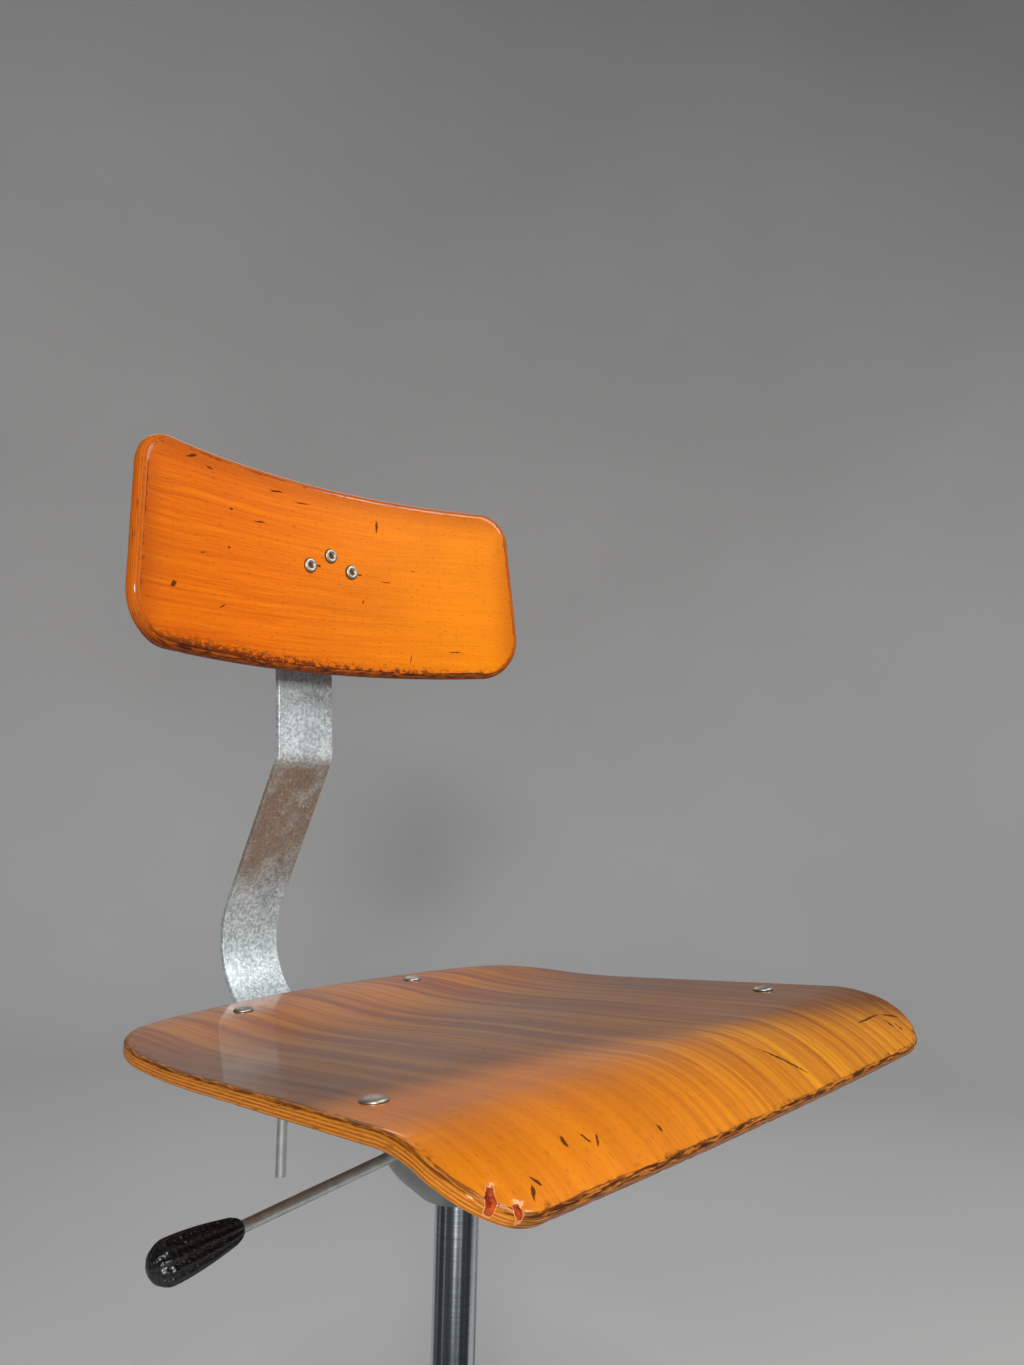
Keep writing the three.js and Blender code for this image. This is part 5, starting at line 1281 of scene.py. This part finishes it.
grip_sizes = {
    "Length": GRIP_LENGTH,
    "Neck": GRIP_NECK,
    "Belly": GRIP_BELLY,
    "Flutes": float(GRIP_FLUTES),
    "Flute depth": GRIP_FLUTE_DEPTH,
    "Material": grip_plastic,
}
grip = grown("fluted_grip", grip_tree(), path_object([(0, 0, 0), (0, 0, 1)]), grip_sizes)
grip.transform(ALONG_LEVER @ Matrix.Translation((0, 0, LEVER_LENGTH)))
finished("fluted_grip", grip, grip_plastic, "lever", ["lever_grip"], smooth=60)

# %% [markdown]
# ## The back strip
# One flat bar is bent three ways: level under the seat, a wide bend behind it, a slanted stretch that comes
# forward, and a tight knee to the upright that carries the backrest. The middle line is straight runs and
# arcs, and a tree carries a round-cornered section along it.

# %% Strip
STRIP_WIDTH = 50 * MM
STRIP_THICKNESS = 5 * MM
STRIP_DROP = 33.8 * MM
STRIP_BEND_Y = 183.8 * MM
STRIP_FRONT_Y = 26 * MM
STRIP_RAKE = math.radians(27.3)
STRIP_TOP_LEAN = math.radians(4)
STRIP_STEPS = [
    ("run", (STRIP_BEND_Y - STRIP_FRONT_Y) / math.cos(FRAME_SLOPE)),
    ("bend", QUARTER + STRIP_RAKE + FRAME_SLOPE, 57 * MM),
    ("run", 126 * MM),
    ("bend", -(STRIP_RAKE + STRIP_TOP_LEAN), 14 * MM),
    ("run", 176 * MM),
]


def strip_path():
    """Points along the strip's middle line, from its end under the seat."""
    y = STRIP_FRONT_Y
    z = SEAT_HEIGHT - STRIP_DROP + (STRIP_BEND_Y - y) * math.tan(FRAME_SLOPE)
    angle = -FRAME_SLOPE
    path = [(0, y, z)]
    for kind, amount, *radius in STRIP_STEPS:
        pieces = 1 if kind == "run" else max(6, int(abs(amount) / math.radians(3)))
        for _ in range(pieces):
            turn = 0 if kind == "run" else amount / pieces
            step = amount if kind == "run" else 2 * radius[0] * math.sin(abs(turn) / 2)
            angle += turn / 2
            y += step * math.cos(angle)
            z += step * math.sin(angle)
            angle += turn / 2
            path.append((0, y, z))
    return path


def flat_bar_tree():
    """A round-cornered rectangle carried along the source curve."""
    sizes = {name: "NodeSocketFloat" for name in ("Width", "Thickness", "Corner")}
    tree, graph, given = geometry_tree("flat_bar", {**sizes, "Material": "NodeSocketMaterial"})
    corners = {"Width": given["Width"], "Height": given["Thickness"]}
    section = graph.add("GeometryNodeCurvePrimitiveQuadrilateral", inputs=corners)
    rounding = {"Curve": section, "Radius": given["Corner"], "Count": 4}
    rounded = graph.add("GeometryNodeFilletCurve", {"mode": "POLY"}, rounding)
    inputs = {"Curve": given["Geometry"], "Profile Curve": rounded, "Fill Caps": True}
    end_tree(graph, graph.add("GeometryNodeCurveToMesh", inputs=inputs), given["Material"])
    return tree


strip_sizes = {
    "Width": STRIP_WIDTH,
    "Thickness": STRIP_THICKNESS,
    "Corner": 1.1 * MM,
    "Material": strip_steel,
}
strip = grown("back_strip_bar", flat_bar_tree(), path_object(strip_path()), strip_sizes)
finished("back_strip_bar", strip, strip_steel, "strip", ["back_strip"], smooth=30)

# %% [markdown]
# ## Rivets
# Four flat domed rivets hold the seat and three tubular ones hold the backrest. Each kind is turned once. A
# tree stands a copy on every point of a small mesh, square to the direction that the point carries.


# %% Rivet tree
def rivet_tree():
    """A copy of the rivet on every point of the source mesh, square to what the point carries."""
    sockets = {"Rivet": "NodeSocketObject", "Material": "NodeSocketMaterial"}
    tree, graph, given = geometry_tree("rivets", sockets)
    shape = graph.add("GeometryNodeObjectInfo", inputs={"Object": given["Rivet"]}, output="Geometry")
    settings = {"data_type": "FLOAT_VECTOR"}
    named = graph.add("GeometryNodeInputNamedAttribute", settings, {"Name": "square_to"})
    turned = graph.add("FunctionNodeAlignRotationToVector", {"axis": "Z"}, {"Vector": named})
    inputs = {"Points": given["Geometry"], "Instance": shape, "Rotation": turned}
    end_tree(graph, graph.add("GeometryNodeInstanceOnPoints", inputs=inputs), given["Material"])
    return tree


RIVETS = rivet_tree()


def rivets_at(name, places, profile, material, facets=48):
    """One mesh with a rivet at each (point, direction)."""
    shape = linked("rivet_shape", turned_mesh("rivet_shape", profile, facets))
    points = bpy.data.meshes.new("rivet_points")
    points.from_pydata([tuple(point) for point, _ in places], [], [])
    directions = [value for _, direction in places for value in direction]
    points.attributes.new("square_to", "FLOAT_VECTOR", "POINT").data.foreach_set("vector", directions)
    source = linked("rivet_points", points)
    mesh = grown(name, RIVETS, source, {"Rivet": shape, "Material": material})
    bpy.data.objects.remove(shape)
    return mesh


# %% Seat rivets
def seat_height_at(x, y):
    return float(seat_z(np.array(x), np.array(y)))


SEAT_RIVETS = [(-170, -118), (170, -118), (-75.5, 133.5), (75.5, 133.5)]
SEAT_GRIP = SEAT_THICKNESS + 1 * MM + 4 * MM + 3 * FIT
seat_rivet_places = []
for x_mm, y_mm in SEAT_RIVETS:
    x = x_mm * MM
    y = y_mm * MM
    here = Vector((x, y, seat_height_at(x, y) + FIT))
    rise = seat_height_at(x, y + MM) - seat_height_at(x, y - MM)
    square = Vector((0, -rise, 2 * MM)).normalized()
    seat_rivet_places.append((here, square))
HEAD = 6.6 * MM
SHANK = 3 * MM
DOME = 2.2 * MM
dome_arc = [
    (HEAD * math.cos(angle) ** 0.8, DOME * (0.12 + 0.88 * math.sin(angle)))
    for angle in (0, 0.15, 0.35, 0.6, 0.9, 1.2, 1.45)
]
seat_rivet_profile = [
    (0, -SEAT_GRIP - DOME),
    (SHANK * 1.5, -SEAT_GRIP - DOME),
    (SHANK * 1.7, -SEAT_GRIP),
    (SHANK, -SEAT_GRIP),
    (SHANK, 0),
    (HEAD, 0),
    *dome_arc,
    (0, DOME),
]
seat_rivets = rivets_at("seat_rivets", seat_rivet_places, seat_rivet_profile, rivet_steel)
corners = ("front_right", "front_left", "rear_right", "rear_left")
seat_rivet_nodes = [f"seat_rivet_{corner}" for corner in corners]
finished("seat_rivets", seat_rivets, rivet_steel, "seat", seat_rivet_nodes, smooth=40)

# %% Backrest rivets
BACK_RIVETS = [(-19.3, 12), (0, 22), (19.3, 12)]
BACK_TAIL = BACK_THICKNESS + 2.5 * MM + 2 * FIT
RIVET_HEAD = 5.2 * MM
RIVET_BORE = 1.9 * MM
facing = Vector((0, -math.cos(BACK_LEAN), math.sin(BACK_LEAN)))
back_rivet_places = []
for across, up in BACK_RIVETS:
    sink = BACK_RADIUS - math.sqrt(BACK_RADIUS**2 - (across * MM) ** 2)
    here = on_backrest(np.array(across * MM), np.array(-sink - 2 * FIT), np.array(up * MM))
    back_rivet_places.append((Vector(here.tolist()), facing))
back_rivet_profile = [
    (RIVET_BORE, -BACK_TAIL - 1 * MM),
    (SHANK * 1.5, -BACK_TAIL - 1 * MM),
    (SHANK * 1.5, -BACK_TAIL),
    (SHANK, -BACK_TAIL),
    (SHANK, 0),
    (RIVET_HEAD, 0),
    (RIVET_HEAD, 0.45 * MM),
    (RIVET_HEAD * 0.93, 0.9 * MM),
    (RIVET_HEAD * 0.80, 1.15 * MM),
    (RIVET_HEAD * 0.66, 1.2 * MM),
    (RIVET_HEAD * 0.54, 1.0 * MM),
    (RIVET_HEAD * 0.46, 0.55 * MM),
    (RIVET_BORE, -0.4 * MM),
    (RIVET_BORE, -BACK_TAIL - 1 * MM),
]
back_rivets = rivets_at("backrest_rivets", back_rivet_places, back_rivet_profile, rivet_steel)
back_rivet_nodes = [f"back_rivet_{i}" for i in (1, 2, 3)]
finished("backrest_rivets", back_rivets, rivet_steel, "backrest", back_rivet_nodes, smooth=40)

# %% [markdown]
# ## The base
# Four tapered legs are welded to a hub round the stand tube. One leg is lofted from rounded sections, and a
# tree sets four of them round the column, and the glides too.

# %% Around the column
hub_low, hub_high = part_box("base_hub")
leg_low, leg_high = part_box("leg_1")
_, glide_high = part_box("glide_1")
stand_low, stand_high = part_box("stand_tube")
STAND_RADIUS = stand_high.x
STAND_WALL = 2.2 * MM
LEG_WIDTH = 26 * MM
LEG_COUNT = 4


def around_tree():
    """Copies of the source geometry turned about the column."""
    sizes = {"Count": "NodeSocketInt", "From": "NodeSocketFloat", "Material": "NodeSocketMaterial"}
    tree, graph, given = geometry_tree("around_the_column", sizes)
    dots = graph.add("GeometryNodePoints", inputs={"Count": given["Count"]})
    index = graph.add("GeometryNodeInputIndex")
    turn = index * TURN / given["Count"] + given["From"]
    rotation = graph.add("FunctionNodeEulerToRotation", inputs=[graph.point(0.0, 0.0, turn)])
    inputs = {"Points": dots, "Instance": given["Geometry"], "Rotation": rotation}
    end_tree(graph, graph.add("GeometryNodeInstanceOnPoints", inputs=inputs), given["Material"])
    return tree


AROUND = around_tree()


def around_column(name, mesh, count, start, material):
    """`count` copies of a mesh about the column, the first turned by `start`."""
    source = linked(name + "_one", mesh)
    return grown(name, AROUND, source, {"Count": count, "From": start, "Material": material})


# %% Legs
def rounded_section(half_width, half_height, corner, steps=5):
    """Points round a rectangle with round corners, as (across, up)."""
    section = []
    for quarter, (sx, sz) in enumerate(((1, 1), (-1, 1), (-1, -1), (1, -1))):
        for step in range(steps + 1):
            angle = (quarter + step / steps) * QUARTER
            across = sx * (half_width - corner) + corner * math.cos(angle)
            up = sz * (half_height - corner) + corner * math.sin(angle)
            section.append((across, up))
    return section


LEG_ROOT_UNDER = 66 * MM
LEG_ROOT_OVER = 108 * MM
LEG_MIDDLE_OVER = 105.9 * MM
LEG_TIP_OVER = 48 * MM
LEG_CORNER = 5 * MM
LEG_STATIONS = 32
TIP_FROM = 0.97  # of the length, where the tip begins to close


def leg_mesh():
    """A bowed, tapered leg along +X, with a rounded tip."""
    root, tip = leg_low.x, leg_high.x
    middle = (root + tip) / 2
    under = [(root, LEG_ROOT_UNDER), (middle, LEG_ROOT_UNDER), (tip, leg_low.z)]
    over = [(root, LEG_ROOT_OVER), (middle, LEG_MIDDLE_OVER), (tip, LEG_TIP_OVER)]
    work = bmesh.new()
    rings = []
    stations = [i / LEG_STATIONS * TIP_FROM for i in range(LEG_STATIONS)]
    for t in [*stations, TIP_FROM, 0.98, 0.988, 0.994, 0.998, 1.0]:
        low, high = quadratic(*under, t), quadratic(*over, t)
        closing = max(0, (t - TIP_FROM) / (1 - TIP_FROM))
        pinch = math.sqrt(max(0.02, 1 - closing**2 * 0.9))
        half_height = (high[1] - low[1]) / 2 * (0.75 + 0.25 * pinch)
        half_width = LEG_WIDTH / 2 * (0.65 + 0.35 * pinch)
        corner = min(LEG_CORNER, half_height * 0.8)
        centre = (high[1] + low[1]) / 2
        section = rounded_section(half_width, half_height, corner)
        rings.append([work.verts.new((low[0], across, centre + up)) for across, up in section])
    bridge(work, rings, len(rings[0]))
    work.faces.new(reversed(rings[0]))
    work.faces.new(rings[-1])
    bmesh.ops.remove_doubles(work, verts=work.verts, dist=1e-6)
    bmesh.ops.recalc_face_normals(work, faces=work.faces)
    return kept_mesh("leg", work)


legs = around_column("base_legs", leg_mesh(), LEG_COUNT, 0.0, grey_enamel)
leg_nodes = [f"leg_{i + 1}" for i in range(LEG_COUNT)]
finished("base_legs", legs, grey_enamel, "base", leg_nodes, smooth=40)

# %% Glides
GLIDE_RADIUS = 17 * MM
GLIDE_AT = glide_high.x - GLIDE_RADIUS
glide_profile = [
    (0, 0),
    (14 * MM, 0),
    (16.1 * MM, 0.9 * MM),
    (17 * MM, 3 * MM),
    (17 * MM, 8 * MM),
    (16.2 * MM, 9.6 * MM),
    (13.5 * MM, 11.8 * MM),
    (9.4 * MM, 14 * MM),
    (5 * MM, 14 * MM),
    (5 * MM, 32 * MM),
    (0, 32 * MM),
]
glide = turned_mesh("glide", glide_profile, 48, place=Matrix.Translation((GLIDE_AT, 0, 0)))
glides = around_column("floor_glides", glide, LEG_COUNT, 0.0, nylon)
glide_nodes = [f"glide_{i + 1}" for i in range(LEG_COUNT)]
finished("floor_glides", glides, nylon, "base", glide_nodes, bevel=0.3 * MM)

# %% Hub, stand tube and bush
HUB_ARRIS = [(5 * MM, 0), (1.5 * MM, 1.5 * MM), (0, 5 * MM)]
hub_profile = tube_profile(STAND_RADIUS + FIT, hub_high.x, hub_low.z, hub_high.z, HUB_ARRIS)
hub = turned_mesh("hub", hub_profile, FINE_FACETS)
finished("base_hub_casting", hub, grey_enamel, "base", ["base_hub"], 0.4 * MM)

stand_profile = tube_profile(STAND_RADIUS - STAND_WALL, STAND_RADIUS, stand_low.z, stand_high.z)
stand = turned_mesh("stand", stand_profile, FINE_FACETS)
finished("stand_tube_outer", stand, grey_enamel, "base", ["stand_tube"], 0.4 * MM)

bush_low, bush_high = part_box("guide_bush")
flange = bush_high.z - 6 * MM
bush_profile = [
    (TUBE_RADIUS + FIT, bush_low.z),
    (STAND_RADIUS - STAND_WALL - FIT, bush_low.z),
    (STAND_RADIUS - STAND_WALL - FIT, flange),
    (bush_high.x, flange),
    (bush_high.x, flange + 4 * MM),
    (bush_high.x - 3 * MM, bush_high.z),
    (TUBE_RADIUS + FIT, bush_high.z),
    (TUBE_RADIUS + FIT, bush_low.z),
]
bush = turned_mesh("bush", bush_profile, FINE_FACETS)
finished("guide_bush_moulding", bush, nylon, "base", ["guide_bush"], 0.5 * MM)

# %% [markdown]
# ## The foot ring
# A chromed hoop on three spokes slides on the stand tube. Its collar is clamped by a screw with a lobed
# knob.

# %% Foot ring
ring_low, ring_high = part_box("foot_ring")
RING_TUBE = (ring_high.z - ring_low.z) / 2
RING_RADIUS = 200 * MM
RING_Z = (ring_high.z + ring_low.z) / 2
collar_low, collar_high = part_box("foot_ring_collar")
COLLAR_RADIUS = collar_high.x
SPOKE_COUNT = 3
SPOKE_RADIUS = 6 * MM
SPOKE_FROM = math.radians(30)


def hoop_tree():
    """A round bar bent to a ring at a height."""
    sizes = {name: "NodeSocketFloat" for name in ("Radius", "Tube", "Height")}
    tree, graph, given = geometry_tree("hoop", {**sizes, "Material": "NodeSocketMaterial"})
    round_line = {"Resolution": 160, "Radius": given["Radius"]}
    line = graph.add("GeometryNodeCurvePrimitiveCircle", inputs=round_line)
    section = {"Resolution": BAR_FACETS, "Radius": given["Tube"]}
    circle = graph.add("GeometryNodeCurvePrimitiveCircle", inputs=section)
    hoop = graph.add("GeometryNodeCurveToMesh", inputs={"Curve": line, "Profile Curve": circle})
    lift = graph.point(0.0, 0.0, given["Height"])
    lifted = graph.add("GeometryNodeTransform", inputs={"Geometry": hoop, "Translation": lift})
    end_tree(graph, lifted, given["Material"])
    return tree


hoop_sizes = {"Radius": RING_RADIUS, "Tube": RING_TUBE, "Height": RING_Z, "Material": bright_chrome}
hoop = grown("foot_ring_hoop", hoop_tree(), path_object([(0, 0, 0), (0, 0, 1)]), hoop_sizes)
finished("foot_ring_hoop", hoop, bright_chrome, "foot_rest", ["foot_ring"], smooth=60)

spoke_path = [(COLLAR_RADIUS + FIT, 0, RING_Z), (RING_RADIUS - RING_TUBE - 0.2 * MM, 0, RING_Z)]
spoke = bar_along("spoke", spoke_path, SPOKE_RADIUS, bright_chrome)
spokes = around_column("foot_ring_spokes", spoke, SPOKE_COUNT, SPOKE_FROM, bright_chrome)
spoke_nodes = [f"foot_ring_spoke_{i + 1}" for i in range(SPOKE_COUNT)]
finished("foot_ring_spokes", spokes, bright_chrome, "foot_rest", spoke_nodes, smooth=60)

COLLAR_ARRIS = [(2 * MM, 0), (0, 2 * MM)]
collar_profile = tube_profile(STAND_RADIUS + FIT, COLLAR_RADIUS, collar_low.z, collar_high.z, COLLAR_ARRIS)
collar = turned_mesh("collar", collar_profile, FINE_FACETS)
collar_nodes = ["foot_ring_collar"]
finished("foot_ring_collar_ring", collar, grey_enamel, "foot_rest", collar_nodes, 0.5 * MM)

# %% [markdown]
# ## Screws and knobs
# A clamp screw is a threaded bar in a lobed hand knob. The thread is a saw-tooth profile, fine enough that
# rings read as a helix.


# %% Threaded screw and lobed knob
THREAD_ROOT = 0.84  # of the screw's radius


def threaded_profile(radius, start, end, pitch=1.25 * MM):
    """A screw's outline, with a crest and a root for each turn of its thread."""
    profile = [(0, start), (radius * THREAD_ROOT, start)]
    height = start + pitch / 2
    while height < end - pitch:
        profile += [(radius, height + pitch * 0.35), (radius * THREAD_ROOT, height + pitch * 0.85)]
        height += pitch
    return [*profile, (radius * 0.9, end), (0, end)]


def knob_profile(radius, start, length):
    """A moulded knob: a neck, a full body, a rounded front edge and a shallow dish."""
    end = start + length
    return [
        (0, start),
        (radius * 0.42, start),
        (radius * 0.5, start + 1.2 * MM),
        (radius * 0.86, start + 2.2 * MM),
        (radius * 0.97, start + 3.6 * MM),
        (radius, start + 6 * MM),
        (radius, end - 5 * MM),
        (radius * 0.97, end - 2.8 * MM),
        (radius * 0.88, end - 1.0 * MM),
        (radius * 0.74, end - 0.2 * MM),
        (radius * 0.55, end - 0.9 * MM),
        (0, end - 1.1 * MM),
    ]


SCREW_RADIUS = 4 * MM
KNOB_LOBES = 5
LOBE_DEPTH = 0.13  # of the knob's radius


def screw_and_knob(names, nodes, body, place, screw_from, screw_to, knob_radius, knob_from, knob_length):
    """Both pieces of a hand screw. `place` takes +Z to the screw's own direction."""
    thread = threaded_profile(SCREW_RADIUS, screw_from, screw_to)
    screw = turned_mesh(names[0], thread, 40, place=place)
    finished(names[0], screw, zinc, body, [nodes[0]])
    profile = knob_profile(knob_radius, knob_from, knob_length)
    knob = turned_mesh(names[1], profile, 120, lobes=KNOB_LOBES, lobe_depth=LOBE_DEPTH, place=place)
    finished(names[1], knob, knob_plastic, body, [nodes[1]], smooth=50)


TO_THE_REAR = Matrix.Rotation(-QUARTER, 4, "X")
screw_low, screw_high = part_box("foot_ring_screw")
knob_low, knob_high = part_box("foot_ring_knob")
screw_and_knob(
    names=["foot_ring_thumb_screw", "foot_ring_thumb_knob"],
    nodes=["foot_ring_screw", "foot_ring_knob"],
    body="foot_rest_clamp",
    place=Matrix.Translation((0, 0, RING_Z)) @ TO_THE_REAR,
    screw_from=screw_low.y,
    screw_to=screw_high.y,
    knob_radius=19 * MM,
    knob_from=knob_low.y,
    knob_length=knob_high.y - knob_low.y,
)
slider_at = Vector(JOINTS["back_screw_turn"]["pos_m"])
STRIP_ALONG = Matrix.Translation(slider_at) @ Matrix.Rotation(-STRIP_TOP_LEAN, 4, "X") @ TO_THE_REAR
screw_and_knob(
    names=["backrest_thumb_screw", "backrest_thumb_knob"],
    nodes=["back_screw", "back_knob"],
    body="slider_clamp",
    place=STRIP_ALONG,
    screw_from=2.8 * MM,
    screw_to=30.1 * MM,
    knob_radius=18 * MM,
    knob_from=19.9 * MM,
    knob_length=18 * MM,
)

# %% [markdown]
# ## Pressings and plates
# Flat-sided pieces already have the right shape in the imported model. A merged copy takes a small bevel, so
# their arrises catch the light as rolled or filed steel does.


# %% Softened copies
def softened(name, node, material, body, slot, bevel):
    """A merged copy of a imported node, with its arrises bevelled."""
    mesh = frame["nodes"][node].data.copy()
    work = bmesh.new()
    work.from_mesh(mesh)
    bmesh.ops.remove_doubles(work, verts=work.verts, dist=0.005 * MM)
    bmesh.ops.dissolve_limit(work, angle_limit=math.radians(1), verts=work.verts, edges=work.edges)
    work.to_mesh(mesh)
    work.free()
    return finished(name, mesh, material, body, [node], bevel)


softened("front_cross_bar", "front_crossbar", grey_enamel, "seat", "gray_enamel", 0.5 * MM)
softened("rear_cross_bar", "rear_crossbar", grey_enamel, "seat", "gray_enamel", 0.5 * MM)
softened("seat_channel", "centre_channel", grey_enamel, "seat", "gray_enamel", 0.5 * MM)
softened("hinge_sleeve", "height_sleeve", black_enamel, "slider", "black_enamel", 0.5 * MM)
softened("backrest_bracket", "bracket_plate", black_enamel, "backrest", "black_enamel", 0.5 * MM)
softened("lever_fork", "lever_bracket", zinc, "seat", "zinc", 0.4 * MM)

cover_low, cover_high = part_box("bowl_cover")
COVER_RADIUS = cover_high.x
cover_profile = [
    (0, cover_low.z),
    (COVER_RADIUS, cover_low.z),
    (COVER_RADIUS, cover_high.z),
    (0, cover_high.z),
]
cover = turned_mesh("cover", cover_profile, FINE_FACETS)
finished("bowl_cover_disc", cover, bowl_steel, "seat", ["bowl_cover"], 0.8 * MM)

# %% [markdown]
# ## The pieces that stay as packed
# Pins, the cam and the inside of the gas spring are right as they are. They get their finishes.

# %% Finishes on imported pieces
PACKED_FINISHES = {
    zinc: [
        "rod_anchor_plate",
        "thrust_washer",
        "rod_clip",
        "gas_piston",
        "tube_gland",
        "valve_plug",
        "release_pin",
    ],
    rivet_steel: ["guide_bolt", "lever_pin", "strip_stop_pin", "clamp_cam", "hinge_pin"],
    chrome: ["gas_rod"],
    rubber: ["rod_bumper"],
}
for material, nodes in PACKED_FINISHES.items():
    for node in nodes:
        dress(frame["nodes"][node], material)
print("packed pieces dressed:", sum(len(nodes) for nodes in PACKED_FINISHES.values()))

# %% [markdown]
# ## The studio
# A pale floor sweeps up into a plain wall all round. The wall is light behind the chair and dark on the
# camera's side, so that the varnish and the column mirror something dark. Two soft lights stand in front
# and one behind, and the open top lets in a little sky.


# %% Stage
FLOOR_RADIUS = 2.2
FLOOR_BEND = 1.0
WALL_HEIGHT = 5.5
BEND_RINGS = 24
FLOOR_SINK = 0.2 * MM  # keeps the floor clear of the glides


def sweep(floor_radius, bend, height):
    """Floor, bend and wall as (radius, height) points, seen from inside."""
    angles = [float(angle) for angle in np.linspace(0, QUARTER, BEND_RINGS)]
    arc = [(floor_radius + bend * math.sin(angle), bend * (1 - math.cos(angle))) for angle in angles]
    return [(0, 0), *arc, (floor_radius + bend, height)]


BACK_WALL_WAY = (0.73, 0.685)  # level direction of the light wall


def studio_paint():
    """Pale paint, darkened above the floor on the side away from the light wall."""
    material, graph, shader = new_material("studio_paint")
    at = object_place(graph)
    x, y, z = at.parts()
    behind = (x * BACK_WALL_WAY[0] + y * BACK_WALL_WAY[1]).ramped(0.6, 2.2)
    cloud = graph.noise(at, scale=0.8, detail=3)
    colour = graph.shade(cloud, [(0.3, (0.46, 0.46, 0.465, 1)), (0.7, (0.52, 0.52, 0.525, 1))])
    dim = graph.blend(1.0, colour, (0.15, 0.15, 0.155, 1), "MULTIPLY")
    wall = graph.blend(behind, dim, colour)
    colour = graph.blend(z.ramped(0.0, 0.9), colour, wall)
    set_shader(graph, shader, Base_Color=colour, Roughness=0.8)
    return material


work = bmesh.new()
rings = []
for radius, height in sweep(FLOOR_RADIUS, FLOOR_BEND, WALL_HEIGHT):
    count = FINE_FACETS if radius else 1
    angles = [k / FINE_FACETS * TURN for k in range(count)]
    spots = [(radius * math.cos(angle), radius * math.sin(angle)) for angle in angles]
    rings.append([work.verts.new((x, y, height - FLOOR_SINK)) for x, y in spots])
bridge(work, rings, FINE_FACETS)
stage_mesh = kept_mesh("studio", work)
stage_mesh.shade_smooth()
studio = linked("studio", stage_mesh)
dress(studio, studio_paint())


# %% Lights and sky
def soft_light(name, place, target, size, power, colour):
    """A round soft light. Its size is in metres and its power in watts."""
    lamp = bpy.data.lights.new(name, "AREA")
    lamp.shape = "DISK"
    lamp.size = size
    lamp.energy = power
    lamp.color = colour
    holder = linked(name, lamp)
    holder.location = place
    holder.rotation_mode = "QUATERNION"
    holder.rotation_quaternion = (Vector(target) - Vector(place)).to_track_quat("-Z", "Y")


soft_light("key", (-1.7, -1.7, 1.35), (0, 0, 0.75), 0.5, 62, (1.0, 0.98, 0.95))
soft_light("fill", (1.0, -1.5, 2.5), (0, 0, 0.8), 1.2, 46, (1.0, 0.98, 0.95))
soft_light("rear", (1.2, 2.0, 2.2), (0, 0, 0.5), 1.4, 12, (0.95, 0.97, 1.0))
world = bpy.data.worlds.new("sky")
scene.world = world
world.use_nodes = True
sky = world.node_tree.nodes["Background"]
sky.inputs["Color"].default_value = (0.62, 0.64, 0.66, 1)
sky.inputs["Strength"].default_value = 0.30

# %% [markdown]
# ## The camera
# It stands low, in front of the sitter's right knee, and looks slightly up at the backrest.

# %% Camera
CAMERA_AT = Vector((-0.4839, -0.4914, 0.7931))
YAW = 0.81589  # radians from +Y towards +X
PITCH = 0.0654  # upwards
ROLL = 0.02497
SENSOR = 36.0  # mm
LENS = 27.907  # mm
ahead = Vector((math.cos(PITCH) * math.sin(YAW), math.cos(PITCH) * math.cos(YAW), math.sin(PITCH)))
level = ahead.cross(Vector((0, 0, 1))).normalized()
above = level.cross(ahead)
right = level * math.cos(ROLL) + above * math.sin(ROLL)
upward = above * math.cos(ROLL) - level * math.sin(ROLL)
camera_data = bpy.data.cameras.new("camera")
camera_data.sensor_width = SENSOR
camera_data.lens = LENS
camera_data.clip_start = 0.02
camera = linked("camera", camera_data)
rows = [(right[i], upward[i], -ahead[i], CAMERA_AT[i]) for i in range(3)]
camera.matrix_world = Matrix([*rows, (0, 0, 0, 1)])
scene.camera = camera
scene.view_settings.view_transform = "Standard"
